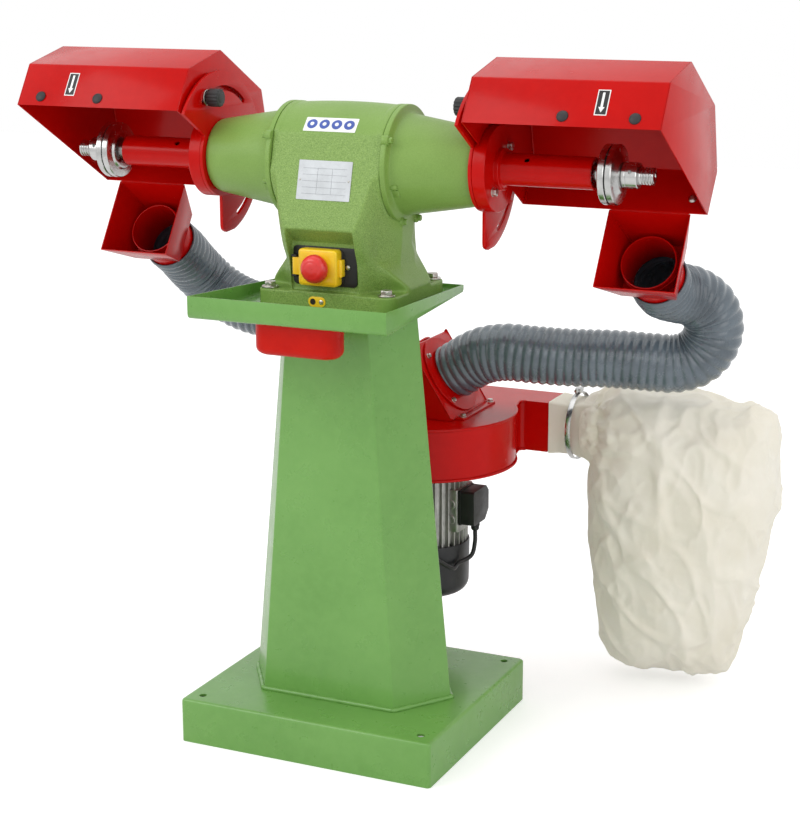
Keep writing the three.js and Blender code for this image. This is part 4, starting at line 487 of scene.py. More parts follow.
class Surface:
    """A small helper round one material's nodes. Coordinates are the object's own, in metres."""

    def __init__(self, name, roughness=0.4, metallic=0.0, **sockets):
        self.material = bpy.data.materials.new(name)
        self.material.use_nodes = True
        self.tree = self.material.node_tree
        self.shader = self.tree.nodes["Principled BSDF"]
        for key, value in {"Roughness": roughness, "Metallic": metallic, **sockets}.items():
            self.feed(self.shader.inputs[key.replace("_", " ")], value)
        self.coordinates = self.tree.nodes.new("ShaderNodeTexCoord").outputs["Object"]

    def feed(self, socket, value):
        if isinstance(value, bpy.types.NodeSocket):
            self.tree.links.new(value, socket)
        else:
            socket.default_value = value

    def node(self, kind, **inputs):
        made = self.tree.nodes.new(kind)
        for key, value in inputs.items():
            self.feed(made.inputs[key.replace("_", " ")], value)
        return made

    def link(self, output, key):
        self.tree.links.new(output, self.shader.inputs[key])

    def stretched(self, x, y, z, shift=(0, 0, 0)):
        made = self.node("ShaderNodeMapping", Vector=self.coordinates, Scale=(x, y, z), Location=shift)
        return made.outputs["Vector"]

    def noise(self, scale, detail=3.0, rough=0.5, vector=None):
        where = vector or self.coordinates
        made = self.node("ShaderNodeTexNoise", Vector=where, Scale=scale, Detail=detail, Roughness=rough)
        return made.outputs["Fac"]

    def range(self, value, low, high, to_low=0.0, to_high=1.0):
        limits = {"From_Min": low, "From_Max": high, "To_Min": to_low, "To_Max": to_high}
        return self.node("ShaderNodeMapRange", Value=value, **limits).outputs["Result"]

    def maths(self, operation, a, b=0.0):
        made = self.tree.nodes.new("ShaderNodeMath")
        made.operation = operation
        self.feed(made.inputs[0], a)
        self.feed(made.inputs[1], b)
        return made.outputs[0]

    def mix(self, factor, a, b):
        """A colour between two; the node's colour sockets are its inputs 6 and 7 and its output 2."""
        made = self.tree.nodes.new("ShaderNodeMix")
        made.data_type = "RGBA"
        for index, value in ((0, factor), (6, a), (7, b)):
            self.feed(made.inputs[index], value)
        return made.outputs[2]

    def axis(self, name):
        return self.node("ShaderNodeSeparateXYZ", Vector=self.coordinates).outputs[name]

    def bump(self, *heights):
        """heights: pairs of height socket and distance in millimetres."""
        normal = None
        for height, distance in heights:
            made = self.node("ShaderNodeBump", Height=height, Strength=1.0, Distance=distance * MM)
            if normal:
                self.tree.links.new(normal, made.inputs["Normal"])
            normal = made.outputs["Normal"]
        self.link(normal, "Normal")


def paint(name, colour, dark, light, roughness=0.3, peel=0.05, coat=0.3, specular=0.5):
    s = Surface(name, roughness, Coat_Weight=coat, Coat_Roughness=0.12, Specular_IOR_Level=specular)
    broad = s.mix(s.range(s.noise(4.0, 4.0, 0.6), 0.35, 0.65), linear(*dark), linear(*light))
    fine = s.range(s.noise(60.0, 5.0, 0.65), 0.4, 0.72, 0.0, 0.35)
    s.link(s.mix(fine, broad, linear(*colour)), "Base Color")
    s.link(s.range(s.noise(25.0, 4.0, 0.6), 0.3, 0.75, roughness * 0.8, roughness * 1.3), "Roughness")
    s.bump((s.noise(420.0, 2.0, 0.5), peel), (s.noise(9.0, 2.0, 0.5), peel * 5))
    return s.material


def casting_paint():
    """Green paint on rough iron: strong grain on the trunk, little on the barrel's top and the bells."""
    s = Surface("casting_green", 0.42, Coat_Weight=0.1, Coat_Roughness=0.25, Specular_IOR_Level=0.35)
    low = s.range(s.axis("Z"), 1.122, 1.100)
    near = s.range(s.maths("ABSOLUTE", s.maths("ADD", s.axis("X"), ORIGIN.x * MM)), 0.112, 0.100)
    grain = s.range(s.maths("MULTIPLY", low, near), 0, 1, 0.22, 1.0)
    speck = s.range(s.noise(520.0, 3.0, 0.65), 0.36, 0.66)
    tone = s.mix(speck, linear(106, 138, 63), linear(147, 179, 94))
    broad = s.mix(s.range(s.noise(6.0, 3.0, 0.6), 0.3, 0.7), linear(114, 149, 66), linear(128, 163, 79))
    s.link(s.mix(s.maths("MULTIPLY", grain, 0.85), broad, tone), "Base Color")
    cells = s.node("ShaderNodeTexVoronoi", Vector=s.coordinates, Scale=330.0).outputs["Distance"]
    pebbles = s.maths("MULTIPLY", s.maths("SUBTRACT", 1.0, cells), grain)
    sand = s.maths("MULTIPLY", s.noise(620.0, 3.0, 0.6), grain)
    s.bump((pebbles, 0.55), (sand, 0.45), (s.noise(70.0, 3.0, 0.5), 0.35))
    s.link(s.range(speck, 0, 1, 0.5, 0.34), "Roughness")
    return s.material


def metal(name, grey, roughness, rings=None, scratches=0.15):
    """Bare metal; rings is the scale of turning marks about the spindle."""
    s = Surface(name, roughness, 1.0)
    dark = tuple(c * 0.78 for c in grey)
    s.link(s.mix(s.range(s.noise(35.0, 5.0, 0.6), 0.3, 0.7), (*dark, 1.0), (*grey, 1.0)), "Base Color")
    s.link(s.range(s.noise(90.0, 4.0, 0.6), 0.3, 0.7, roughness * 0.7, roughness * 1.5), "Roughness")
    heights = [(s.noise(260.0, 4.0, 0.6, s.stretched(1, 1, 0.15)), scratches * 0.1)]
    if rings:
        centred = s.stretched(1, 1, 1, (0, (ORIGIN.y - AXIS_Y) * MM, -AXIS_Z * MM))
        wave = s.node("ShaderNodeTexWave", Vector=centred, Scale=rings, Distortion=0.4)
        wave.wave_type = "RINGS"
        wave.rings_direction = "X"
        heights.append((wave.outputs["Fac"], 0.02))
    s.bump(*heights)
    return s.material


def plastic(name, colour, roughness=0.4, grain=0.08, coat=0.0):
    s = Surface(name, roughness, Coat_Weight=coat)
    lift = tuple(min(1.0, c * 1.25 + 0.004) for c in linear(*colour)[:3]) + (1.0,)
    s.link(s.mix(s.range(s.noise(30.0, 5.0, 0.65), 0.35, 0.75), linear(*colour), lift), "Base Color")
    s.link(s.range(s.noise(55.0, 4.0, 0.6), 0.3, 0.7, roughness * 0.85, roughness * 1.25), "Roughness")
    s.bump((s.noise(900.0, 2.0, 0.5), grain))
    return s.material


def hose_pvc():
    s = Surface("hose_pvc", 0.24, Coat_Weight=0.5, Coat_Roughness=0.12)
    tone = s.mix(s.range(s.noise(14.0, 4.0, 0.6), 0.3, 0.7), linear(74, 84, 92), linear(100, 112, 121))
    dusty = s.range(s.noise(120.0, 4.0, 0.7), 0.64, 0.82, 0.0, 0.3)
    s.link(s.mix(dusty, tone, linear(132, 138, 142)), "Base Color")
    s.link(s.range(s.noise(60.0, 4.0, 0.6), 0.3, 0.7, 0.16, 0.32), "Roughness")
    s.bump((s.noise(210.0, 3.0, 0.5), 0.12))
    return s.material


def cotton():
    s = Surface("cotton", 0.92, Sheen_Weight=0.35, Sheen_Roughness=0.5, Specular_IOR_Level=0.15)
    tone = s.mix(s.range(s.noise(5.0, 4.0, 0.6), 0.3, 0.7), linear(240, 234, 216), linear(250, 246, 234))
    flecks = s.range(s.noise(420.0, 4.0, 0.8), 0.66, 0.78, 0.0, 0.5)
    s.link(s.mix(flecks, tone, linear(216, 202, 172)), "Base Color")
    warp = s.node("ShaderNodeTexWave", Vector=s.stretched(1, 0.6, 0.1), Scale=420.0, Distortion=1.2)
    weft = s.node("ShaderNodeTexWave", Vector=s.coordinates, Scale=420.0, Distortion=1.2)
    weft.bands_direction = "Z"
    weave = s.maths("MULTIPLY", warp.outputs["Fac"], weft.outputs["Fac"])
    s.bump((s.noise(45.0, 5.0, 0.62), 1.2), (s.noise(160.0, 4.0, 0.6), 0.5), (weave, 0.25))
    return s.material


GREEN = paint("sheet_green", (118, 168, 84), (100, 152, 68), (110, 162, 77), 0.3, 0.05, 0.25), "sheet_green"
RED = paint("red_paint", (200, 14, 8), (180, 4, 2), (192, 8, 4), 0.22, 0.035, 0.06, 0.14), "red"
POT_RED = paint("pot_red", (206, 26, 2), (182, 12, 1), (196, 18, 1), 0.34, 0.12, 0.0, 0.16), "red"
CASTING = casting_paint(), "casting_green"
STEEL = metal("turned_steel", (0.64, 0.64, 0.63), 0.2, 260.0), "steel"
ZINC = metal("zinc", (0.66, 0.64, 0.59), 0.3), "steel"
STAINLESS = metal("stainless", (0.62, 0.62, 0.61), 0.22), "steel"
CORE = metal("laminations", (0.33, 0.32, 0.30), 0.5), "steel"
MOTOR = metal("motor_alloy", (0.50, 0.50, 0.47), 0.45, scratches=0.8), "aluminium"
BLACK = plastic("black_moulding", (26, 26, 27), 0.42), "black_plastic"
COWL_BLACK = plastic("cowl_black", (30, 31, 33), 0.35), "black_plastic"
YELLOW = plastic("yellow_moulding", (246, 196, 22), 0.34, 0.05, 0.2), "yellow_plastic"
STOP_RED = plastic("red_moulding", (214, 40, 38), 0.3, 0.04, 0.3), "red_plastic"
START_GREEN = plastic("green_moulding", (40, 140, 60), 0.35, 0.05), "green_plastic"
DARK = plastic("dark_rubber", (34, 32, 34), 0.5), "black_plastic"
WHITE = plastic("label_white", (226, 228, 226), 0.4, 0.02), "black_plastic"
PLATE = plastic("plate_grey", (186, 190, 193), 0.3, 0.02, 0.1), "black_plastic"
BLUE = plastic("label_blue", (60, 84, 160), 0.4, 0.02), "black_plastic"
LINE_GREY = plastic("plate_lines", (150, 154, 158), 0.4, 0.02), "black_plastic"
CABLE = plastic("cable_sheath", (28, 28, 29), 0.45, 0.05), "black_plastic"
HOSE = hose_pvc(), "hose_pvc"
COTTON = cotton(), "cotton"


def hex_bolt(x, y, z, across=19.0, high=8.0, washer=15.5, thick=3.0, axis=Z):
    """A hexagon head with its chamfer, on a washer."""
    centre = Vector((x, y, z))
    radius = across / 2 / math.cos(math.pi / 6)

    def distance(level, angle):
        near = (angle + math.pi / 6) % (math.pi / 3) - math.pi / 6
        return min(radius * math.cos(math.pi / 6) / math.cos(near), radius * level[1])
    levels = ((thick, 0.97), (thick + 0.6, 1.0), (thick + high - 1.4, 1.0), (thick + high, 0.9))
    under = [(0, 0), (washer, 0), (washer, thick * 0.75), (washer - 0.6, thick), (0, thick)]
    return merge(lathe(under, centre, axis, 48), turned(levels, distance, centre, axis, 24))


# Hoses and the motor's cable

FAN = Vector((24, 272, 0))
MOUTH = Vector((502.5, 98, 913.25))
STUB_AXIS = Vector((0, 124.5, -78)).normalized()
MOUTH_UP = Vector((0, 78, 124.5)).normalized()
SLOPE = Vector((140, 0, 90)).normalized()
HOSE_PITCH, RIB_STEPS, HOSE_SIDES = 15.5, 12, 56
HOSE_STRAIGHT = 110.4

HOSE_ROUTES = {
    "right": [
        (514, 276, 812), (537, 309, 801), (558, 333, 778), (567, 346, 745), (559, 350, 709), (535, 347, 680),
        (500, 339, 667), (460, 330, 667), (420, 321, 669), (380, 313, 670), (340, 306, 669), (300, 297, 669),
        (262, 289, 670), (224, 281, 672), (186, 275, 673), (148, 272, 666),
    ],
    "left": [
        (-504, 258, 811), (-505, 295, 784), (-487, 323, 751), (-452, 334, 724), (-408, 336, 707),
        (-362, 336, 699), (-316, 335, 692), (-271, 327, 684), (-228, 313, 677), (-185, 297, 673),
        (-141, 281, 670), (-96, 273, 661),
    ],
}


def inlet(sign):
    """The middle and the outward direction of a sloping side of the fan's inlet box."""
    return Vector((FAN.x + sign * 45, FAN.y, 620.3)), Vector((sign * SLOPE.x, 0, SLOPE.z))


def collar(side, sign):
    """The flanged stub that a hose ends on, screwed to the fan's inlet box."""
    centre, out = inlet(sign)
    up = Y.cross(out)
    profile = [
        (48, 0.4), (77.4, 0.4), (78, 1.0), (78, 3.7), (77.2, 4.3), (52, 4.3), (50.4, 5.2), (50, 6.4),
        (50, 43.4), (49.4, 44.3), (48, 44.3), (48, 0.4),
    ]
    made = build(side + "_collar_ring", lathe(profile, centre, out), RED, side + "_inlet_collar")
    screws = []
    for a, b in (polar(68, 45 + 90 * k) for k in range(4)):
        screws.append(hex_bolt(*(centre + Y * a + up * b + out * 4.3), 8, 4, 5.4, 0.8, out))
    build(side + "_collar_screws", merge(*screws), ZINC, bevel=0.2, smooth=30)
    return made


def hose(side, sign):
    """A ribbed hose from a chute's stub to the fan: a wound rib outside, a shallow one inside."""
    start = MOUTH + STUB_AXIS * 113
    start.x *= sign
    centre, out = inlet(sign)
    end = centre + out * 10
    half, quarter = HOSE_STRAIGHT / 2, HOSE_STRAIGHT / 4
    points = [start, start + STUB_AXIS * quarter, start + STUB_AXIS * half]
    points += [Vector(p) for p in HOSE_ROUTES[side]]
    points += [end + out * half, end + out * quarter, end]
    path, length = spline(points, HOSE_PITCH / RIB_STEPS)

    def crest(i, angle):
        return 0.5 + 0.5 * math.cos(FULL_TURN * ((i / RIB_STEPS + angle / FULL_TURN) % 1.0))

    skin = tube_rings(path, lambda i, angle: 51.9 + 3.1 * crest(i, angle) ** 0.55, HOSE_SIDES)
    lining = tube_rings(path, lambda i, angle: 51.0 + 0.7 * crest(i, angle), HOSE_SIDES)
    walls = loft(skin + lining[::-1], closed=True)
    piece = build(side + "_ribbed_hose", walls, HOSE, side + "_hose", None, smooth=180)
    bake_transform(piece)
    collar(side, sign)


def motor_cable():
    points = [
        (128.7, 264.4, 316.1), (128.7, 264.4, 292), (124.7, 256.4, 266), (106.7, 234.4, 254), (108, 205, 252),
        (88, 165, 280), (64, 128, 300), (45.45, 111, 315), (43.45, 89, 317),
    ]
    path, length = spline(points, 3.0)
    piece = build("motor_lead", rod(path, 4.2, 16), CABLE, "motor_cable", smooth=180)


for name, sign in SIDES:
    hose(name, sign)
motor_cable()


# Pedestal

BASE_X, BASE_Y, BASE_TOP, BASE_SHEET, BASE_EDGE = 250, 225.5, 83, 4, 6
COLUMN_TOP = 795


def base_ring(z, pull=0.0, radius=7):
    return [(x, y, z) for x, y in rounded_rect(BASE_X - pull, BASE_Y - pull, radius)]


def pedestal():
    rings = [base_ring(z, BASE_SHEET, 4) for z in (BASE_TOP - BASE_SHEET, 0)]
    rings += [base_ring(z) for z in (0, 76)]
    rings += [base_ring(BASE_TOP - BASE_EDGE + rise, pull) for pull, rise in quarter_round(BASE_EDGE)[1:]]
    holes = [disc(7, 60, 100, (sx * 220, sy * 195.5, 0), Z, 32) for sx in (-1, 1) for sy in (-1, 1)]
    build("base_box", loft(rings), GREEN, "pedestal_base", smooth=40, cut=holes)


def column_ring(z, grow=0.0, lift=0.0):
    """The column's six sides at a height, from the wide foot to the narrow head."""
    share = (z - BASE_TOP) / (COLUMN_TOP - BASE_TOP)
    front, middle, deep = (a + (b - a) * share + grow for a, b in ((132, 79), (201, 132.5), (103, 90)))
    hexagon = [(front, -deep), (middle, 0), (front, deep), (-front, deep), (-middle, 0), (-front, -deep)]
    return [(x, y - 18, z + lift) for x, y in rounded(hexagon, 5.0, 5)]


def column():
    rings = [column_ring(BASE_TOP + (COLUMN_TOP - BASE_TOP) * k / 12) for k in range(13)]
    build("column_skin", loft(rings), GREEN, "column", smooth=30)
    foot = weld(column_ring(BASE_TOP, 1.0, 2.5), 4.6, 3, closed=True)
    build("column_weld", foot, GREEN, smooth=180)
    head = weld(column_ring(COLUMN_TOP, 0.5, -1.5), 3.0, 8, closed=True)
    build("column_head_weld", head, GREEN, smooth=180)


pedestal()
column()


# Tray and pot

TRAY_FRONT, TRAY_BACK = -264, 121
TRAY_LOW, TRAY_RISE = 803, 10.5
TRAY_HALF, TRAY_HALF_BACK = 188, 162
POT_Y = -210
POT_BOTTOM, POT_WALL = 745, 1.6


def narrowing(part):
    """The tray is narrower at the back: each point moves in by its place."""
    points, faces = part
    out = []
    for p in points:
        width = TRAY_HALF + (TRAY_HALF_BACK - TRAY_HALF) * (p[1] - TRAY_FRONT) / (TRAY_BACK - TRAY_FRONT)
        out.append(Vector((p[0] * width / TRAY_HALF, p[1], p[2])))
    return out, faces


def tray():
    outline = [(TRAY_FRONT, TRAY_LOW), (TRAY_BACK, TRAY_LOW + TRAY_RISE), (TRAY_BACK, 826), (TRAY_FRONT, 843)]
    low_front, low_back, high_back, high_front = inset(outline, 2)
    hollow = [low_front, low_back, (high_back[0], 900), (high_front[0], 900)]
    cut = [
        narrowing(prism("x", rounded(hollow, [7, 7, 0, 0]), 2 - TRAY_HALF, TRAY_HALF - 2)),
        prism("z", shifted(rounded_rect(133.4, 116.4, 22), 0, FOOT_Y), 780, 860),
        prism("z", shifted(rounded_rect(79.9, 28.4, 24), 0, POT_Y), 780, 840),
    ]
    sheet = narrowing(prism("x", rounded(outline, [9, 9, 0, 0]), -TRAY_HALF, TRAY_HALF))
    build("tray_sheet", sheet, GREEN, "tray", bevel=0.7, angle=40, smooth=40, cut=cut)
    seams = [weld([(s * 187, -263, 812), (s * 187, -263, 842)], 1.2, i) for i, s in enumerate((-1, 1))]
    build("tray_welds", merge(*seams), (GREEN[0], None), smooth=180)


def pot():
    """A pan that hangs in the tray on its rim, which leans with the tray's floor."""
    slope = TRAY_RISE / (TRAY_BACK - TRAY_FRONT)
    seat = TRAY_LOW + slope * (POT_Y - TRAY_FRONT) + 2.6

    def one(pull, z, tilt=slope):
        points = rounded_rect(79.5 - pull, 28 - pull, max(6, 24 - pull / 2), 8)
        return [(x, y + POT_Y, z + tilt * y) for x, y in points]
    outside = [one(14 - a, POT_BOTTOM + 14 - b, 0) for a, b in (polar(14, 90 - 15 * k) for k in range(7))]
    inside = [
        one(POT_WALL + 13 - a, POT_BOTTOM + POT_WALL + 13 - b, 0)
        for a, b in (polar(13, 15 * k) for k in range(7))
    ]
    rim = [
        (-0.2, -3), (-1.4, -0.6), (-3, 0), (-6.4, 0), (-7, 0.7), (-6.4, 1.5), (-1, 1.5), (1.5, -1),
    ]
    rings = outside + [one(0, 780, 0)] + [one(pull, seat + rise) for pull, rise in rim]
    rings += [one(POT_WALL, 780, 0)] + inside
    build("pot_pan", loft(rings), POT_RED, "water_pot", "water_pot", smooth=50)


tray()
pot()


# Motor housing

TRUNK = [
    # share of the height, shift back, then five (across, along) pairs from the front's edge round to the side
    (0, 0, .474, .996, .575, .638, .699, .491, 1, .435, 1, .216),
    (.044, 0, .47, 1.004, .586, .664, .729, .517, 1, .435, 1, .216),
    (.106, 0, .462, 1.017, .594, .724, .737, .586, .913, .513, .913, .241),
    (.189, 0, .451, 1.034, .594, .802, .677, .69, .774, .599, .827, .259),
    (.271, 0, .444, 1.047, .579, .888, .632, .784, .662, .655, .82, .259),
    (.368, -.065, .466, 1.017, .571, .931, .632, .819, .662, .603, .835, .19),
    (.515, -.116, .504, 1.017, .602, .914, .654, .802, .692, .655, .87, .216),
    (.745, -.116, .609, .931, .677, .845, .722, .759, .759, .672, .842, .237),
    (1, -.116, .729, .802, .744, .741, .756, .681, .767, .612, .797, .259),
]
TRUNK_BOTTOM, TRUNK_HEIGHT, TRUNK_STEPS = 838, 217.4, 63
FOOT_X, FOOT_DEPTH = 133, 116
BARREL_HALF, BARREL_RADIUS, BARREL_CROWN = 95, 101, 3.5
LEAN = (118 - 77.8) / (1109 - 950)


def row_at(rows, share):
    """The index of the last row that starts at or before a share, and not the final one."""
    return max(0, min(len(rows) - 2, sum(1 for row in rows if row[0] <= share) - 1))


def trunk_row(share):
    """Sizes at a share of the height, on smooth curves through the rows."""
    i = row_at(TRUNK, share)
    a, b = TRUNK[i], TRUNK[i + 1]
    before, after = TRUNK[max(0, i - 1)], TRUNK[min(len(TRUNK) - 1, i + 2)]
    span = b[0] - a[0]
    t = max(0.0, (share - a[0]) / span)
    h = (2 * t ** 3 - 3 * t ** 2 + 1, t ** 3 - 2 * t ** 2 + t, -2 * t ** 3 + 3 * t ** 2, t ** 3 - t ** 2)
    sizes = []
    for k in range(1, 12):
        into = (b[k] - before[k]) / (b[0] - before[0]) * span
        out = (after[k] - a[k]) / (after[0] - a[0]) * span
        sizes.append(h[0] * a[k] + h[1] * into + h[2] * b[k] + h[3] * out)
    return sizes


def trunk():
    rings = []
    for step in range(TRUNK_STEPS + 1):
        share = step / TRUNK_STEPS
        shift, *pairs = trunk_row(share)
        quarter = [(pairs[k] * FOOT_X, pairs[k + 1] * FOOT_DEPTH) for k in range(0, 10, 2)]
        half = [(x, -y) for x, y in quarter] + list(reversed(quarter))
        polygon = half + [(-x, y) for x, y in reversed(half)]
        corners = rounded(polygon, [7, 18, 22, 9, 9, 9, 9, 22, 18, 7] * 2, 4)
        z = TRUNK_BOTTOM - 2 + (TRUNK_HEIGHT + 2) * share
        rings.append([(x, y + FOOT_Y + shift * FOOT_DEPTH, z) for x, y in corners])
    return loft(rings)


def crown(x):
    return BARREL_CROWN * (1 - (x / BARREL_HALF) ** 2)


def barrel():
    """The round body, crowned a little along its top."""
    def distance(level, angle):
        return BARREL_RADIUS + crown(level[0]) * max(0.0, math.sin(angle)) ** 4
    levels = [((2 * i / 40 - 1) * BARREL_HALF,) for i in range(41)]
    return turned(levels, distance, sides=120)


def motor_housing():
    foot = prism("z", shifted(rounded_rect(FOOT_X, FOOT_DEPTH, 22), 0, FOOT_Y), 805, TRUNK_BOTTOM)
    bolts = [(sx * 113, FOOT_Y + sy * 97.5) for sx in (-1, 1) for sy in (-1, 1)]
    seams = [ring(60, 103, *sorted((s * 94, s * 105)), sides=120) for s in (-1, 1)]
    piece = raw_piece("motor_casting", merge(foot, trunk(), barrel(), *seams), CASTING[0])
    remesh(piece, 1.9, 3)
    high = FACE_Y - 77.8 + LEAN * 60
    wedge = prism("x", [(-260, 949), (FACE_Y - 118.3, 949), (high, 1169), (-260, 1169)], -140, 140)
    recess = prism("x", [(-260, 950), (-138, 950), (-110, 925), (-110, 839.5), (-260, 839.5)], -64.5, 64.5)
    window = prism("y", shifted(rounded_rect(28.5, 24.5, 2), SWITCH_X, SWITCH_Z), -116, -60)
    carve(piece, wedge, recess, window, *[disc(17, 838.4, 900, (x, y, 0), Z, 48) for x, y in bolts])
    remesh(piece, 1.6, 3)
    assign(piece, "motor_housing")
    for name, (x, y) in zip(("front_left", "back_left", "front_right", "back_right"), bolts):
        build("foot_screw_" + name, hex_bolt(x, y, 838.3), ZINC, "foot_bolt_" + name, bevel=0.25, smooth=30)


motor_housing()


# End bells, adjuster plates, knobs and spindle tubes

def end_bells():
    profile = [
        (70, 105.4), (102.2, 105.4), (103, 106.2), (103, 113.8), (102, 115), (96, 115.6), (91, 116.6),
        (88.4, 118.4), (87, 122), (83.4, 143), (78.6, 173), (72.8, 208), (68.4, 234), (66.2, 247), (65, 252),
        (63.4, 254.4), (61, 255), (30, 255), (30, 240), (58, 236), (76, 170), (80, 118), (70, 105.4),
    ]
    lug = [(0, 105.6), (8.5, 105.6), (8.5, 116), (7.4, 118), (0, 118)]
    stub = [(0, 116), (5, 116), (5, 127), (4, 129), (0, 129)]
    screw_places = [about(angle, 101) for angle in (-61, 61, -163, 163)]
    lugs = [lathe(lug, (0, y, z), X, 40) for y, z in screw_places]
    lugs.append(lathe(stub, (0, *about(-111, 86)), X, 24))
    pad = []
    for x, pull in ((116, 0), (129.4, 0), (130.6, 1.2)):
        corners = ((-1, -1), (-1, 1), (1, 1), (1, -1))
        pad.append([(x, *about(-119 + a * 4.6, 83 + b * (5.5 - pull))) for a, b in corners])
    lugs.append(loft(pad))
    body = merge(lathe(profile, sides=128), *lugs)
    on_both("bell_casting", body, CASTING, "{side}_end_bell", bevel=0.8, smooth=45)
    heads = [hex_bolt(118, y, z, 10, 5, 6.4, 1.0, X) for y, z in screw_places]
    on_both("bell_screws", merge(*heads), CASTING, bevel=0.3, smooth=30)


def slot_outline(radius, start, end, width, steps=24):
    """A curved slot about the spindle, with round ends."""
    out = []
    for first, last, side in ((start, end, 1), (end, start, -1)):
        turns = [first + (last - first) * i / steps for i in range(steps + 1)]
        out += [about(turn, radius + side * width / 2) for turn in turns]
        y, z = about(last, radius)
        opposite = 0 if side > 0 else 180
        for up, back in (polar(width / 2, last + opposite + 180 * k / 8) for k in range(1, 8)):
            out.append((y + back, z + up))
    return out


def adjuster_plates():
    aside = (-7.5, 2.6)
    outline = shifted([about(-57 + 220 * i / 70, 148) for i in range(71)], *aside)
    tip_y, tip_z = AXIS_Y + aside[0], outline[-1][1]
    outline += [(tip_y + dy, tip_z + dz) for dy, dz in ((14, -2.5), (6, 1), (1.5, 5), (0, 12))]
    outline.append((tip_y, AXIS_Z - 74))
    outline += [about(186 + i * 117 / 30, 74) for i in range(31)]
    slots = [slot_outline(119.5, -33.8, 40, 9.4), slot_outline(120, 126, 156, 9.4)]
    plate = prism("x", outline, 255.3, 261.3, slots)
    on_both("swivel_plate", plate, RED, "{side}_adjuster_plate", bevel=0.7)


KNOB = about(-26.8, 119.5)
KNOB_AXIS = Vector((0, *KNOB))


def knobs():
    levels = ((226.0, 0.9), (226.8, 0.97), (228.5, 1.0), (246.0, 1.0), (248.0, 0.98), (248.8, 0.92))
    flutes = 14

    def distance(level, angle):
        return (16.0 - 1.5 * (0.5 + 0.5 * math.cos(angle * flutes)) ** 3) * level[1]
    grip = turned(levels, distance, KNOB_AXIS, X, 144)
    neck = lathe([(0, 248.8), (10.5, 248.8), (9, 250), (9, 252.7), (0, 252.7)], KNOB_AXIS, X, 40)
    cap = lathe([(0, 225.4), (8.5, 225.4), (9.4, 226.2), (9.4, 227), (0, 227)], KNOB_AXIS, X, 40)
    whole = merge(grip, neck, cap)
    on_both("knob_grip", whole, BLACK, "{side}_clamp_knob", "{side}_knob", bevel=0.3, smooth=40)
    profile = [(4.3, 252.8), (13.6, 252.8), (14, 253.3), (14, 254.7), (4.3, 254.7), (4.3, 252.8)]
    stud = lathe([(0, 252.8), (4, 252.8), (4, 277.2), (3.4, 278), (0, 278)], KNOB_AXIS, X, 32)
    on_both("knob_stud", merge(lathe(profile, KNOB_AXIS, X, 40), stud), ZINC, body="{side}_knob")


def spindle_tubes():
    profile = [
        (16.2, 261.7), (73, 261.7), (74, 262.7), (74, 283.8), (73, 285), (38, 285), (36.3, 285.8), (36, 287),
        (36, 292.8), (35, 294), (30, 294.3), (28.2, 295.4), (27.5, 298), (27.5, 453.8), (26.6, 455),
        (23.9, 455), (23.9, 310), (16.2, 310), (16.2, 261.7),
    ]
    hole = disc(5, 10, 60, SPINDLE + X * 340, Vector((0, -0.7071, 0.7071)), 32)
    on_both("arm_tube", lathe(profile), RED, "{side}_spindle_tube", cut=[hole])
    screws = [hex_bolt(285, *about(angle, 50), 13, 7, 8.0, 1.2, X) for angle in (45, 225)]
    on_both("flange_screws", merge(*screws), ZINC, bevel=0.25, smooth=30)


end_bells()
adjuster_plates()
knobs()
spindle_tubes()


# Spindle ends

def threaded(start, end, radius, depth, pitch):
    """A screw thread about the spindle that fades at its ends."""
    def distance(level, angle):
        x = level[0]
        fade = min(1.0, (x - start) / pitch, (end - x) / (pitch * 0.7) + 0.15)
        t = (x / pitch - angle / FULL_TURN) % 1.0
        tooth = clamp(1.7 * (1 - abs(2 * t - 1)) - 0.25)
        return radius - depth * tooth * fade
    count = int((end - start) / pitch * 10)
    return turned([(start + (end - start) * i / count,) for i in range(count + 1)], distance, sides=56)


def spindle_ends():
    shaft = lathe([(0, 262), (15, 262), (15, 534), (0, 534)], sides=64)
    nose = [(4.5, 555.5), (12.5, 555.5), (11.6, 557), (4.5, 557), (2.0, 553), (0, 552.5), (0, 555.5)]
    parts = merge(shaft, threaded(532, 556, 15.0, 2.3, 5.2), lathe(nose, sides=48))
    on_both("spindle_end", parts, STEEL, body="spindle", smooth=50)
    core = [(0, -260), (15, -260), (15, -86), (20, -86), (20, 86), (15, 86), (15, 260), (0, 260)]
    build("spindle_middle", lathe(core, sides=48), STEEL, "spindle_shaft", "spindle")
    flanges = {
        "inner": [
            (15.4, 466.2), (30, 466.2), (33, 467), (36, 470.6), (44, 471.6), (49.4, 472.6), (50.5, 474),
            (50.5, 482.6), (49.6, 483.9), (44, 484), (43.4, 483.4), (32, 483.4), (31.4, 484), (15.4, 484),
            (15.4, 466.2),
        ],
        "outer": [
            (15.4, 485.6), (44, 485.6), (49.4, 485.8), (50.5, 487), (50.5, 495.4), (49.4, 497), (44, 498),
            (36, 499), (31, 502.6), (29, 503.4), (15.4, 503.4), (15.4, 485.6),
        ],
    }
    for name, profile in flanges.items():
        node = "{side}_" + name + "_wheel_flange"
        on_both("wheel_flange_" + name, lathe(profile), STEEL, node, "spindle", smooth=32)
    on_both("flange_packing", ring(15.4, 46.5, 484.1, 485.5), DARK, body="spindle")
    nut = [
        (15.2, 503.9), (20.8, 503.9), (22, 505.2), (22, 510), (21.4, 510.8), (21.4, 511.8), (22, 512.6),
        (22, 529.6), (20.8, 531), (15.2, 531), (15.2, 503.9),
    ]
    middle = SPINDLE + X * 520
    bar_holes = [disc(3.25, -40, 40, middle, (0, y, z), 32) for y, z in ((-0.94, 0.34), (0.34, 0.94))]
    sleeve = lathe(nut, sides=80)
    on_both("nut_sleeve", sleeve, STEEL, "{side}_spindle_nut", "spindle", smooth=32, cut=bar_holes)


spindle_ends()


# Hoods and chutes

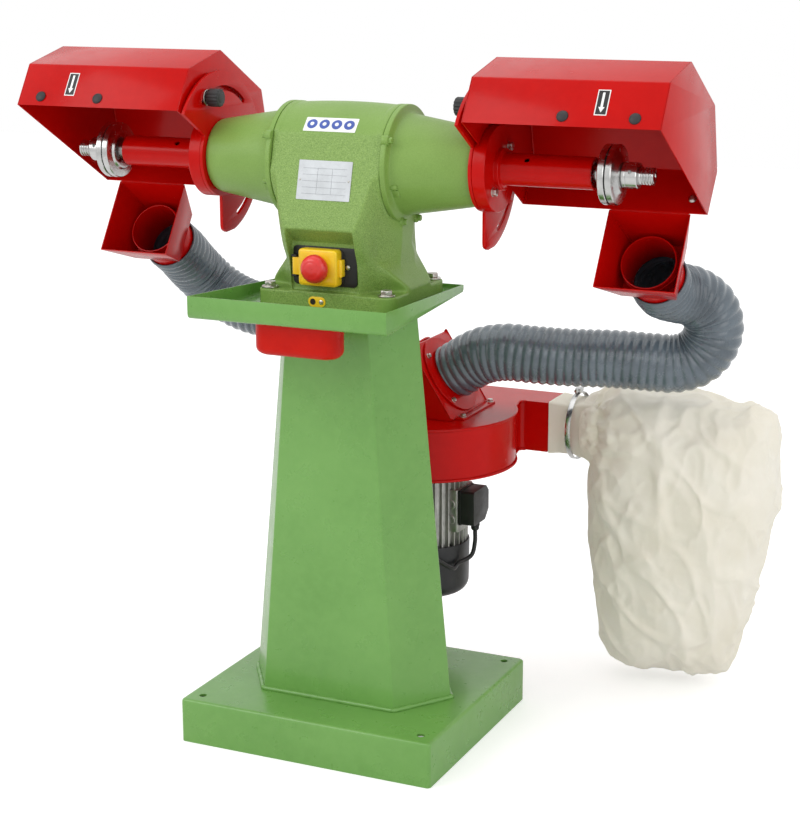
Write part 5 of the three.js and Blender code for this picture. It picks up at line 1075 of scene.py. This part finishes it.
HOOD = [(-145, 1144), (-102, 1214.5), (8, 1241), (157, 1160), (187, 1044), (137, 976)]
HOOD_IN, HOOD_OUT = 268.0, 606.0
FRONT_EDGE, BACK_EDGE = Vector((0, *HOOD[0])), Vector((0, *HOOD[4]))
FRONT_UP = (Vector((0, *HOOD[1])) - FRONT_EDGE).normalized()
FRONT_OUT = Vector((0, -FRONT_UP.z, FRONT_UP.y))
BACK_DOWN = (Vector((0, *HOOD[5])) - BACK_EDGE).normalized()
BACK_IN = Vector((0, BACK_DOWN.z, -BACK_DOWN.y))


def hoods():
    """A folded hood: its panels and outer end, its inner cheek with the holes, weld seams and fittings."""
    loop = list(reversed(HOOD))
    outer = rounded(loop, [0, 5, 5, 5, 5, 0], 5)
    inner_loop = inset(loop, 2)
    inner_loop[0] = (HOOD[5][0] - 1.2, HOOD[5][1] + 1.6)
    inner_loop[-1] = (HOOD[0][0] + 1.9, HOOD[0][1] + 0.6)
    inner = rounded(inner_loop, [0, 3, 3, 3, 3, 0], 5)
    sheet = prism("x", outer + list(reversed(inner)), HOOD_IN + 1, HOOD_OUT - 1)
    end = prism("x", outer, HOOD_OUT - 2, HOOD_OUT)
    on_both("hood_shell", merge(sheet, end), RED, "{side}_hood", "{side}_hood", bevel=0.5, smooth=30)
    holes = [disc(75.2, 258, 275, sides=96), disc(4.4, 258, 275, KNOB_AXIS, X, 32)]
    cheek = prism("x", outer, HOOD_IN, HOOD_IN + 2)
    on_both("hood_cheek", cheek, RED, body="{side}_hood", bevel=0.4, angle=40, smooth=30, cut=holes)
    seams = []
    inside = inset(loop, 2.6)
    for x in (HOOD_IN + 3.2, HOOD_OUT - 3.2):
        for i, (a, b) in enumerate(zip(inside, inside[1:])):
            seams.append(weld([(x, *a), (x, *b)], 1.7, i + x))
    on_both("hood_seams", merge(*seams), RED, body="{side}_hood", smooth=180)
    plug = [(0, 0.2), (9.6, 0.2), (10, 0.8), (9.4, 2.2), (6.5, 3.8), (3, 4.5), (0, 4.7)]
    plugs = [lathe(plug, FRONT_EDGE + X * x + FRONT_UP * 17.5, FRONT_OUT, 48) for x in (439, 560)]
    on_both("hood_plugs", merge(*plugs), DARK, body="{side}_hood", smooth=60)
    sleeve = lathe([(4.3, 261.6), (8, 261.6), (8, 268), (4.3, 268), (4.3, 261.6)], KNOB_AXIS, X, 40)
    nut = prism("x", circle(*KNOB, 8, 6), 270, 277.6, [circle(*KNOB, 4.3, 32)])
    on_both("hood_weld_nut", merge(sleeve, nut), ZINC, body="{side}_hood", bevel=0.3, smooth=30)
    button = [(0, 0), (7.5, 0), (7.2, 1.6), (4.5, 3.6), (0, 4.4)]
    screw = lathe(button, BACK_EDGE + X * 574 + BACK_DOWN * 56 + BACK_IN * 2.2, BACK_IN, 32)
    on_both("hood_button_screw", screw, ZINC, body="{side}_hood", smooth=60)


def box_outline(half_x, half_y):
    return [(-half_x, -half_y), (half_x, -half_y), (half_x, half_y), (-half_x, half_y)]


def arrow_label():
    """The arrow for the sense of rotation, on the hood's front panel."""
    middle = FRONT_EDGE + X * 501 + FRONT_UP * 44
    arrow = [(0, -17.5), (5.2, -8), (2.0, -8), (2.0, 17.5), (-2.0, 17.5), (-2.0, -8), (-5.2, -8)]
    shapes = (
        ("arrow_field", box_outline(10.5, 22.5), WHITE, 0.25),
        ("arrow_ground", box_outline(8.8, 20.8), BLACK, 0.4),
        ("arrow_shape", arrow, WHITE, 0.55),
    )
    for name, outline, look, lift in shapes:
        plate = prism((X, FRONT_UP, FRONT_OUT), outline, 0.05, lift, origin=middle)
        on_both(name, plate, look, body="{side}_hood", smooth=20)


def chute_point(across, up, along):
    return MOUTH + X * across + MOUTH_UP * up + STUB_AXIS * along


def chutes():
    """A funnel from the hood's mouth to the round stub for the hose, with its weld beads."""
    wide, tall, narrow = 73.5, 73.46, 51.0

    def one(half_x, half_up, along):
        return [chute_point(a, b, along) for a, b in rounded_rect(half_x, half_up, 1.6, 3)]
    rings = [one(wide, tall, 0), one(narrow, narrow, 88)]
    rings += [one(narrow - 2, narrow - 2, 88), one(wide - 2, tall - 2, 0)]
    outline = rounded_rect(narrow - 1, narrow - 1, 1.2, 3)
    plane = (X, MOUTH_UP, STUB_AXIS)
    back_plate = prism(plane, outline, 86.2, 87.8, [circle(0, 0, 49, 64)], MOUTH)
    funnel = merge(loft(rings, closed=True), ring(48, 50, 50, 135, MOUTH, STUB_AXIS), back_plate)
    on_both("chute_funnel", funnel, RED, "{side}_chute", "{side}_hood", bevel=0.35)
    round_seam = []
    for turn in range(0, 360, 6):
        along = 62 + 6 * abs(math.cos(2 * math.radians(turn)))
        round_seam.append(chute_point(*polar(50.6, turn), along))
    beads = [weld(round_seam, 1.2, 5, closed=True)]
    for a, b in ((1, 1), (1, -1), (-1, 1), (-1, -1)):
        start = chute_point(a * (wide - 2), b * (tall - 2), 2)
        end = chute_point(a * (narrow - 2.4), b * (narrow - 2.4), 80)
        beads.append(weld([start, end], 1.2, a + 3 * b))
    beads.append(weld([chute_point(s * (wide - 3), tall + 0.4, 0.6) for s in (-1, 1)], 1.6, 9))
    on_both("chute_seams", merge(*beads), RED, body="{side}_hood", smooth=180)


hoods()
arrow_label()
chutes()


# Switch and plates on the casting

PIN_X, PIN_Y = -53, -122.8


def at_switch(points, dx=0.0):
    return shifted(points, SWITCH_X + dx, SWITCH_Z)


def switch_back():
    plate = prism("y", shifted(rounded_rect(61.5, 34, 8), 0, SWITCH_Z), -112.3, -110.3)
    build("switch_back", plate, BLACK, "switch_plate", bevel=0.5)
    opening = at_switch(rounded_rect(25, 20, 3))
    bezel = prism("y", at_switch(rounded_rect(43, 29, 5), -2), -115.0, -112.4, [opening])
    box = prism("y", at_switch(rounded_rect(28, 24, 2)), -120.3, -80)
    ears = []
    for s in (-1, 1):
        low, high = sorted((s * 15.3, s * 19.3))
        ears.append(block(-57.5, -48.5, -127.3, -112.5, SWITCH_Z + low, SWITCH_Z + high))
    pin = disc(2, SWITCH_Z - 19.3, SWITCH_Z + 19.3, (PIN_X, PIN_Y, 0), Z, 24)
    wells = [disc(8.3, -125, -100, (SWITCH_X + across, 0, SWITCH_Z), Y, 48) for across in (0, 19)]
    body = merge(bezel, box, pin, *ears)
    build("switch_body", body, BLACK, "switch_frame", bevel=0.5, cut=wells)
    head = [(0, 0), (4.6, 0), (4.6, -1.2), (3.4, -2.4), (0, -2.9)]
    build("switch_screw", lathe(head, (44.4, -112.3, 884.6), Y, 32), ZINC, smooth=50)


def switch_flap():
    rings = []
    for pull, y in ((0, -115.3), (0, -131.6), (0.6, -133.2), (1.8, -134.4), (3.4, -135.0)):
        rings.append([(x, y, z) for x, z in at_switch(rounded_rect(37 - pull, 32 - pull, 6 - pull * 0.3))])
    rings += [[(x, y, z) for x, z in at_switch(rounded_rect(34.5, 29.5, 4))] for y in (-132.5, -115.3)]
    build("flap_shell", loft(rings, closed=True), YELLOW, "switch_flap", "switch_flap", smooth=40)
    low, high = SWITCH_Z - 15, SWITCH_Z + 15
    head_hole = circle(SWITCH_X, SWITCH_Z, 11.6, 48)
    front = merge(
        prism("y", at_switch(rounded_rect(33.4, 28.4, 5)), -135.0, -132.5, [head_hole]),
        disc(4.5, low, high, (PIN_X, PIN_Y, 0), Z, 32),
        block(PIN_X, -39.6, -127.3, PIN_Y, low, high),
        prism("y", at_switch(rounded_rect(4.5, 15, 2), 39.2), -127.3, -115.3),
        ring(13, 26, -135.5, -134.8, (SWITCH_X, 0, SWITCH_Z), Y, 64),
    )
    build("flap_front", front, YELLOW, None, "switch_flap", bevel=0.5)


def switch_heads():
    head = [
        (0, -123.7), (7.1, -123.7), (7.1, -129.6), (13.4, -129.6), (13.4, -132.1), (10.9, -132.1),
        (10.9, -139.6), (20, -139.9), (23.5, -140.6), (25, -143), (25, -146), (24.4, -150), (22.5, -153.6),
        (19, -156.6), (15, -158.6), (13.6, -158.4), (12.4, -159), (6, -159.8), (0, -160),
    ]
    part = lathe(head, (SWITCH_X, 0, SWITCH_Z), Y)
    build("mushroom_head", part, STOP_RED, "stop_mushroom", "mushroom", smooth=50)
    button = [(0, -109.3), (8, -109.3), (8, -121.8), (7, -122.9), (6, -123.1), (5.4, -122.6), (0, -122.4)]
    for name, across, look in (("stop_plunger", 0, STOP_RED), ("start_button", 19, START_GREEN)):
        part = lathe(button, (SWITCH_X + across, 0, SWITCH_Z), Y, 48)
        build(name + "_cap", part, look, name, name, smooth=40)


switch_back()
switch_flap()
switch_heads()

PANEL_UP = Vector((0, LEAN, 1)).normalized()
PANEL_OUT = Vector((0, -1, LEAN)).normalized()


def name_plate():
    """A bare plate with ruled lines and two rivets on the casting's leaning face."""
    x, z = 3, 1033
    middle = Vector((x, FACE_Y - 77.8 - LEAN * (1109 - z), z))
    plane = (X, PANEL_UP, PANEL_OUT)
    plate = prism(plane, rounded_rect(51, 34, 1.5, 5), 0.0, 0.9, origin=middle + PANEL_OUT * 0.3)
    build("name_plate", plate, PLATE, smooth=30)
    bars = [(-42, 20 - 11 * k, 42, 20.7 - 11 * k) for k in range(5)]
    bars += [(across, -24.4, across + 0.7, 20.7) for across in (-14, 14)]
    lines = []
    for x0, z0, x1, z1 in bars:
        corners = [(x0, z0), (x1, z0), (x1, z1), (x0, z1)]
        lines.append(prism(plane, corners, -0.1, 0.12, origin=middle + PANEL_OUT * 1.25))
    build("name_plate_lines", merge(*lines), LINE_GREY, smooth=20)
    rivet = [(0, 0), (1.9, 0), (1.6, 0.8), (0.8, 1.3), (0, 1.4)]
    rivets = [lathe(rivet, middle + X * s * 46.5 + PANEL_OUT * 1.1, PANEL_OUT, 20) for s in (-1, 1)]
    build("name_plate_rivets", merge(*rivets), ZINC, smooth=60)


def barrel_point(x, angle, lift):
    """A point over the barrel at an angle back from straight up, lifted off its crowned surface."""
    up = max(0.0, math.cos(math.radians(angle)))
    return Vector((x, *about(angle, BARREL_RADIUS + crown(x) * up ** 4 + lift)))


def wrapped(outline, steps, low, high):
    """An outline of (x, angle) laid on the barrel, between two heights over its surface."""
    n = len(outline)
    mid_x, mid_angle = (sum(p[k] for p in outline) / n for k in (0, 1))
    rings = []
    for height, shares in ((low, range(steps + 1)), (high, range(steps, -1, -1))):
        for share in (k / steps for k in shares):
            rings.append([
                barrel_point(mid_x + (x - mid_x) * share, mid_angle + (angle - mid_angle) * share, height)
                for x, angle in outline
            ])
    return loft(rings)


def sign_strip():
    """A strip of plain round signs with no meaning of their own, on the front of the barrel."""
    strip_x, strip_angle = 1.0, -46.5
    plate = shifted(rounded_rect(50, 8.2, 1.2, 4), strip_x, strip_angle)
    build("sign_strip", wrapped(plate, 8, 0.1, 0.7), WHITE, smooth=30)
    discs, dots = [], []
    for middle in (strip_x - 35.4 + 23.6 * k for k in range(4)):
        disc_outline = [(middle + 9.6 * a, strip_angle + 5.4 * b) for a, b in circle(0, 0, 1, 40)]
        dot_outline = [(middle + 3.6 * a, strip_angle + 2.0 * b) for a, b in circle(0, 0, 1, 32)]
        discs.append(wrapped(disc_outline, 3, 0.5, 0.95))
        dots.append(wrapped(dot_outline, 2, 0.8, 1.2))
    build("sign_discs", merge(*discs), BLUE, smooth=30)
    build("sign_dots", merge(*dots), WHITE, smooth=30)


def foot_sign():
    """A plain yellow plate with round ends on the front of the foot, held by a screw."""
    face = FOOT_Y - FOOT_DEPTH
    middle, height = -11.3, 822.5
    outline = shifted(rounded_rect(16.7, 9, 8.9, 8), middle, height)
    build("foot_sign", prism("y", outline, face - 1.4, face - 0.1), YELLOW, bevel=0.3)
    build("foot_sign_mark", disc(5.4, face - 1.7, face - 1.3, (middle - 7.5, 0, height), Y, 40), BLACK)
    screw = [(0, face - 1.3), (4.2, face - 1.3), (4.0, face - 2.6), (2.6, face - 3.3), (0, face - 3.5)]
    build("foot_sign_screw", lathe(screw, (middle + 9, 0, height), Y, 32), ZINC, smooth=50)


name_plate()
sign_strip()
foot_sign()


# Fan

SCROLL_LOW, SCROLL_HIGH = 450, 550
OUTLET_X, OUTLET_FRONT, OUTLET_BACK = 224, 402, 493
DUCT_Y, DUCT_Z, DUCT_RADIUS = 447.5, 500, 61
SCROLL_START = 33
MOTOR_AXIS = Vector((FAN.x, FAN.y, 0))


def scroll_outline(drawn):
    """The fan's spiral with its outlet, drawn in by a distance."""
    points = []
    sweep = 360 - (90 - SCROLL_START)
    for i in range(73):
        along = sweep * i / 72
        a, b = polar(170 + 47 * along / sweep - drawn, SCROLL_START - along)
        points.append((FAN.x + a, FAN.y + b))
    back, front = OUTLET_BACK - drawn, OUTLET_FRONT + drawn
    tongue = points[0][0]
    fillet = (OUTLET_X - tongue) / 5
    nose = list(reversed(arc(tongue + fillet, front - fillet, fillet, 180, 90, 8)))
    points = points[1:]
    points[-1] = (points[-1][0], back)
    return points + [(OUTLET_X, back), (OUTLET_X, front)] + nose


def duct_ring(round_share, steps):
    """(angle, across, up) points of the fan's square outlet, turned into a circle by a share."""
    out = []
    for a, b in rounded_rect(45.5, 50, 4, steps):
        angle = math.atan2(b, a)
        keep = 1 - round_share
        across = a * keep + DUCT_RADIUS * math.cos(angle) * round_share
        up = b * keep + DUCT_RADIUS * math.sin(angle) * round_share
        out.append((angle, across, up))
    return out


def fan_scroll():
    cut = [
        prism("z", scroll_outline(2), SCROLL_LOW + 2, SCROLL_HIGH - 2),
        disc(62, 540, 560, MOTOR_AXIS, Z, 64),
        block(215, 240, 404, 491, SCROLL_LOW + 2, SCROLL_HIGH - 2),
    ]
    wall = prism("z", scroll_outline(0), SCROLL_LOW, SCROLL_HIGH)
    build("scroll_case", wall, RED, "fan_scroll", smooth=30, cut=cut)
    edge = scroll_outline(-1.2)
    outlet = next(i for i, p in enumerate(edge) if p[0] > 222)
    path = edge[outlet + 2:] + edge[:outlet]
    beads = [rod([Vector((x, y, z)) for x, y in path], 2.6, 10) for z in (548.6, 451.4)]
    build("scroll_beads", merge(*beads), RED, smooth=180)
    outside, inside = [], []
    for x, share in ((222, 0.0), (226, 0.06), (234, 0.38), (242, 0.7), (250, 1.0), (306, 1.0)):
        points = duct_ring(share, 9)
        outside.append([(x, DUCT_Y + a, DUCT_Z + b) for _, a, b in points])
        inside.append([(x, DUCT_Y + a * 0.965, DUCT_Z + b * 0.965) for _, a, b in points])
    build("scroll_spigot", loft(outside + inside[::-1], closed=True), RED)


def inlet_box():
    """The gabled box on the fan, its sloping sides open to the two hose collars."""
    roof = shifted([(-90, 550.3), (90, 550.3), (0, 690.3)], FAN.x, 0)
    inside = shifted([(-85.6, 540), (85.6, 540), (0, 683)], FAN.x, 0)
    cut = [prism("y", inside, 186, 358)] + [disc(48, -12, 12, *inlet(sign), 64) for sign in (1, -1)]
    shell = prism("y", rounded(roof, [2, 2, 6]), 184, 360)
    build("inlet_roof", shell, RED, "fan_inlet_box", bevel=0.5, angle=30, smooth=30, cut=cut)
    feet, screws, lips = [], [], []
    for sign in (1, -1):
        middle = FAN.x + sign * 96.5
        feet.append(prism("z", shifted(rounded_rect(9.5, 79, 2), middle, 281), 550.2, 553.2))
        screws += [hex_bolt(middle + sign * 1.5, y, 553.2, 10, 4.5, 6.5, 1.0) for y in (217, 353)]
        lips.append(weld([(FAN.x + sign * 88.5, y, 553.4) for y in (187, 357)], 1.6, sign))
    for y in (184.5, 359.5):
        lips.append(weld([(FAN.x - 88, y, 553), (FAN.x, y, 688.5), (FAN.x + 88, y, 553)], 1.5, y))
    build("inlet_feet", merge(*feet), RED, bevel=0.5)
    build("inlet_seams", merge(*lips), RED, smooth=180)
    build("inlet_screws", merge(*screws), ZINC, bevel=0.25, smooth=30)


def fan_motor():
    fins = 36

    def distance(level, angle):
        off = abs((angle * fins / FULL_TURN) % 1.0 - 0.5)
        fin = 1.0 if off < 0.16 else (0.35 if off < 0.2 else 0.0)
        return (71.5 + 8.3 * fin) * level[1]
    levels = ((276, 0.985), (277.5, 1.0), (427, 1.0), (429.7, 0.99))
    body = turned(levels, distance, MOTOR_AXIS, Z, 432)
    neck = [(0, 424), (73, 424), (76, 430), (84, 436), (88, 440), (88, 449.6), (0, 449.6)]
    x0, x1 = FAN.x + 30, FAN.x + 82
    pad = prism("z", rounded([(x0, 234), (x1, 234), (x1, 310), (x0, 310)], [3, 7, 7, 3]), 316, 400)
    plug = [(0, 0), (9.5, 0), (9.5, 2.4), (8.6, 3.2), (5, 3.2), (4.4, 2.2), (0, 2.2)]
    plugs = [lathe(plug, (FAN.x + 66, 234, z), -Y, 40) for z in (340, 371)]
    casting = merge(body, lathe(neck, MOTOR_AXIS, Z), pad, *plugs)
    build("motor_frame_casting", casting, MOTOR, "fan_motor_frame", bevel=0.5, angle=40)
    profile = [(0, 182), (40, 180.6), (58, 181)]
    profile += [(58.2 + a, 205 - b) for b, a in (polar(24, turn) for turn in range(10, 91, 10))]
    profile += [(83.2, 284), (82.6, 287), (81.2, 287), (81.2, 206), (60, 183.4), (0, 183.4)]
    build("cowl_shell", lathe(profile, MOTOR_AXIS, Z), COWL_BLACK, "fan_motor_cowl", smooth=40)
    slot = [(0, 0), (3.2, 0), (3.0, -0.7), (0, -0.7)]
    places = [Vector((*polar(56, 15 * k), 180.6)) + MOTOR_AXIS for k in range(24)]
    build("cowl_grille", merge(*[lathe(slot, p, Z, 12) for p in places]), DARK, smooth=40)


def terminal_box():
    lid = [(234, 331.7), (292, 331.7), (310, 349.7), (310, 387), (297, 399.7), (234, 399.7)]
    cover = prism("x", rounded(lid, [5, 4, 4, 4, 4, 5]), 106.3, 138.3)
    build("terminal_lid", cover, BLACK, "terminal_box_lid", bevel=1.6, segments=3, smooth=40)
    rim = prism("x", rounded(inset(lid, -1.2), 4), 106.2, 111)
    build("terminal_lid_rim", rim, BLACK, bevel=0.6, smooth=40)
    gland = [
        (4.5, 316.6), (6.4, 316.6), (8, 319.5), (8, 324), (7.2, 324.6), (7.2, 325.6), (9.2, 326),
        (9.2, 331.4), (4.5, 331.4), (4.5, 316.6),
    ]
    build("gland_body", lathe(gland, (128.7, 264.4, 0), Z, 40), BLACK, "cable_gland")


fan_scroll()
inlet_box()
fan_motor()
terminal_box()


# Dust bag and clamp

CLAMP_X = 273
BAG_X, BAG_HALF_X, BAG_HALF_Y = 487, 196, 122
BAG_LOW, BAG_HEIGHT = 32, 547
BAG_LEVELS = [
    # share of the height, shift along the machine, share of the width, share of the depth
    (0.0, -0.09, 0.5, 0.36), (0.025, -0.09, 0.68, 0.58), (0.09, -0.085, 0.765, 0.78),
    (0.21, -0.06, 0.83, 0.89), (0.42, -0.03, 0.915, 0.97), (0.65, 0.0, 0.985, 1.0),
    (0.86, 0.015, 0.99, 0.95), (0.945, 0.01, 0.955, 0.86), (0.985, 0.0, 0.89, 0.68), (1.0, -0.01, 0.78, 0.46),
]
NECK_STATIONS = (
    # x, share of the way from square to round, distance of the cloth from the duct
    (227, 0.0, 3.0), (233, 0.34, 3.4), (240, 0.66, 3.2), (250, 1.0, 3.2), (262, 1.0, 3.4), (268, 1.0, 3.0),
    (278.4, 1.0, 3.0), (284, 1.0, 5.0), (294, 1.0, 7.5), (312, 1.0, 11.0), (330, 1.0, 16.0),
)


def bag_clamp():
    strap = [(66, 268), (67.4, 268), (67.6, 268.6), (67.6, 277.6), (67.4, 278.2), (66, 278.2), (66, 268)]
    screw = (CLAMP_X, 0, 572.2)
    clamp_parts = merge(
        lathe(strap, (0, DUCT_Y, DUCT_Z), X, 128),
        prism("x", rounded([(436, 567.5), (459, 567.5), (457, 576.5), (438, 576.5)], 2), 268, 278),
        disc(3.2, 430, 465, screw, Y, 24),
        disc(4.4, 428, 432, screw, Y, 6),
    )
    build("clamp_band", clamp_parts, STAINLESS, "bag_clamp", bevel=0.3)


def bag_body(count=72, drawn=13):
    """The bag's form, a rounded box that swells upwards, drawn in to leave room for its folds."""
    rings = []
    for step in range(40):
        t = step / 39
        i = row_at(BAG_LEVELS, t)
        a, b = BAG_LEVELS[i], BAG_LEVELS[i + 1]
        s = (t - a[0]) / (b[0] - a[0])
        s = s * s * (3 - 2 * s) * 0.4 + s * 0.6
        shift, wide, deep = (a[k] + (b[k] - a[k]) * s for k in (1, 2, 3))
        one = []
        for k in range(count):
            angle = FULL_TURN * k / count
            across, along = (math.copysign(abs(c) ** 0.75, c) for c in (math.cos(angle), math.sin(angle)))
            x = BAG_X + BAG_HALF_X * shift + (BAG_HALF_X * wide - drawn) * across
            y = DUCT_Y + (BAG_HALF_Y * deep - drawn) * along
            one.append((x, y, BAG_LOW + BAG_HEIGHT * t))
        rings.append(one)
    return loft(rings)


def bag_neck():
    """The cloth from the square duct round to the clamp and on into the bag, gathered in small folds."""
    outside, inside = [], []
    for x, share, thick in NECK_STATIONS:
        gathered = min(1.0, abs(x - CLAMP_X) / 12)
        depth = 1.6 if x > 278 or 236 < x < 266 else 0.8
        pull = min(thick - 0.6, 2.0) if x < 300 else thick
        outer, inner = [], []
        for angle, across, up in duct_ring(share, 17):
            fold = (0.5 + 0.5 * math.sin(angle * 23 + 1.3 * math.sin(angle * 5))) * gathered
            size = math.hypot(across, up)
            grown = size + thick + depth * fold
            for out, reach in ((outer, grown), (inner, grown - pull)):
                out.append((x, DUCT_Y + across * reach / size, DUCT_Z + up * reach / size))
        outside.append(outer)
        inside.append(inner)
    return loft(outside + inside[::-1], closed=True)


def dust_bag():
    mouth = lathe([(0, 292), (64, 292), (70, 306), (78, 326), (0, 326)], (0, DUCT_Y, DUCT_Z), X, 72)
    piece = raw_piece("filter_bag", merge(bag_body(), mouth), COTTON[0])
    remesh(piece, 5.6, 5)
    crumple(piece)
    swell(piece)
    creases(piece)
    modifier = piece.modifiers.new("fine", "SUBSURF")
    modifier.levels = modifier.render_levels = 1
    apply_modifiers(piece)
    piece.data.shade_smooth()
    assign(piece, "dust_bag")
    build("filter_bag_neck", bag_neck(), COTTON, smooth=70)


def swell(piece, most=9.0, steps=20):
    """Blows the bag up a little: the cloth is cut larger than its form, so it buckles into creases."""
    held = piece.vertex_groups.new(name="held")
    before = [v.co.copy() for v in piece.data.vertices]
    for i, p in enumerate(before):
        held.add([i], clamp((310 - back_to_mm(p).x) / 18), "REPLACE")
    modifier = piece.modifiers.new("cloth", "CLOTH")
    cloth = modifier.settings
    cloth.quality = 6
    cloth.mass = 0.25
    cloth.tension_stiffness = cloth.compression_stiffness = 18
    cloth.shear_stiffness = 6
    cloth.bending_stiffness = 0.15
    cloth.use_pressure = True
    cloth.uniform_pressure_force = 0.8
    cloth.shrink_min = cloth.shrink_max = -0.07
    cloth.vertex_group_mass = "held"
    cloth.effector_weights.gravity = 0
    modifier.collision_settings.use_collision = False
    modifier.point_cache.frame_start, modifier.point_cache.frame_end = 1, steps
    for step in range(1, steps + 1):
        bpy.context.scene.frame_set(step)
    apply_modifiers(piece)
    bpy.context.scene.frame_set(1)
    for vertex, start in zip(piece.data.vertices, before):
        move = vertex.co - start
        if move.length > most * MM:
            vertex.co = start + move.normalized() * most * MM
    piece.vertex_groups.clear()


def ridge_of(a, b, sharp):
    """A folded crease: a tent shape across a, its line wandering with b."""
    t = (a + 0.35 * math.sin(b)) % 1.0
    return (1 - abs(2 * t - 1)) ** sharp


def crease_of(*p):
    """Nil along the lines where the noise is nil, and more beside them."""
    return abs(noise.noise(Vector(p)))


def crumple(piece):
    """Folds that hang from the neck and creases of stiff cotton, moved along the surface's normals."""
    moves = []
    for vertex in piece.data.vertices:
        p = back_to_mm(vertex.co)
        free = clamp((p.x - 300) / 50)
        warp = noise.noise(Vector((p.x / 120, p.y / 120, p.z / 160)))
        from_neck = math.atan2(p.z - 520, max(20.0, p.x - 250)) / math.radians(15) + 1.1 * warp
        reach = math.hypot(p.x - 290, p.z - 520)
        fan = ridge_of(from_neck, p.y / 60, 1.6) * max(0.0, 1 - reach / 330)
        upright = ridge_of(p.x / 88 + 0.7 * warp + 0.0016 * (p.z - 300), p.z / 90 + p.y / 70, 2.0)
        slant = 1 - 2 * crease_of((p.x + 0.5 * p.z) / 80, p.y / 70, (p.z - 0.4 * p.x) / 80)
        lower = clamp((560 - p.z) / 300, 0.15)
        moves.append(free * (9.0 * (fan - 0.3) + 8.0 * lower * (upright - 0.42) + 3.5 * (slant - 0.55)))
    push(piece.data, moves)


def push(mesh, moves):
    """Moves each point along its normal, by millimetres."""
    normals = [v.normal.copy() for v in mesh.vertices]
    for vertex, normal, move in zip(mesh.vertices, normals, moves):
        vertex.co += normal * move * MM


def creases(piece):
    """Narrow crease lines where the cloth has been folded and pressed, and the sag of the bag's top."""
    mesh = piece.data
    moves = []
    for vertex in mesh.vertices:
        p = back_to_mm(vertex.co)
        bend = noise.noise(p / 110) * 30
        one = crease_of((p.x + 0.55 * p.z + bend) / 78, p.y / 80, (p.z - 0.5 * p.x) / 150)
        two = crease_of((p.x - 0.35 * p.z) / 52 + 9, p.y / 60, (p.z + 0.6 * p.x + bend) / 105)
        three = crease_of(p.x / 30 + 4, p.y / 34, p.z / 48)
        lines = 6.0 * max(0.0, 1 - 5.5 * one) + 4.0 * max(0.0, 1 - 6.0 * two)
        lines += 1.6 * max(0.0, 1 - 5.0 * three)
        moves.append(clamp((p.x - 300) / 40) * (lines - 2.2))
    push(mesh, moves)
    for vertex in mesh.vertices:
        p = back_to_mm(vertex.co)
        vertex.co.z -= 16 * MM * clamp((p.z - 500) / 70) * math.exp(-((p.x - 585) / 50) ** 2)


bag_clamp()
dust_bag()


# The carried-over solids that show inside get their materials

def dress(look, *names):
    for name in names:
        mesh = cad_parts[name].data
        mesh.materials.clear()
        mesh.materials.append(look[0])


dress(GREEN, "column_top_plate", "fan_bracket")
dress(CORE, "stator_core", "rotor_core", "fan_motor_stator")
dress(STEEL, "left_inner_bearing", "right_inner_bearing", "left_outer_bearing", "right_outer_bearing")
dress(STEEL, "fan_motor_shaft")
dress(MOTOR, "impeller")
dress(BLACK, "cooling_fan", "column_cable_grommet")


# Studio

def white_world():
    """A white room, a little dimmer as a light than as a background."""
    world = bpy.data.worlds.new("studio")
    bpy.context.scene.world = world
    world.use_nodes = True
    tree = world.node_tree
    background = tree.nodes["Background"]
    seen = tree.nodes.new("ShaderNodeLightPath").outputs["Is Camera Ray"]
    strength = tree.nodes.new("ShaderNodeMapRange")
    strength.inputs["To Min"].default_value = 0.925
    strength.inputs["To Max"].default_value = 1.0
    tree.links.new(seen, strength.inputs["Value"])
    tree.links.new(strength.outputs["Result"], background.inputs["Strength"])
    background.inputs["Color"].default_value = (1, 1, 1, 1)


def studio_floor(size=9.0, level=-0.0005):
    """A pale floor that glows a little to the camera only; sizes are metres."""
    mesh = bpy.data.meshes.new("studio_floor")
    mesh.from_pydata([(x, y, level) for x, y in box_outline(size, size)], [], [(0, 1, 2, 3)])
    floor = bpy.data.objects.new("studio_floor", mesh)
    bpy.context.scene.collection.objects.link(floor)
    s = Surface("studio_floor", 0.7, Specular_IOR_Level=0.1, Base_Color=(0.86, 0.86, 0.86, 1))
    s.shader.inputs["Emission Color"].default_value = (1, 1, 1, 1)
    seen = s.tree.nodes.new("ShaderNodeLightPath").outputs["Is Camera Ray"]
    s.link(s.range(seen, 0, 1, 0.0, 0.38), "Emission Strength")
    mesh.materials.append(s.material)


def lamp(name, where, target, width, height, power):
    data = bpy.data.lights.new(name, "AREA")
    data.shape = "RECTANGLE"
    data.size, data.size_y = width * MM, height * MM
    data.energy = power
    light = bpy.data.objects.new(name, data)
    bpy.context.scene.collection.objects.link(light)
    light.location = place(where)
    light.rotation_euler = (place(target) - place(where)).to_track_quat("-Z", "Y").to_euler()


white_world()
studio_floor()
lamp("key", (-1800, -2300, 2600), (0, 0, 800), 2000, 2000, 30)
lamp("fill", (2600, -1500, 1900), (100, 0, 700), 1600, 2200, 12)
lamp("top", (0, 200, 3000), (0, 0, 600), 2400, 2000, 10)
bpy.context.scene.view_settings.view_transform = "Standard"
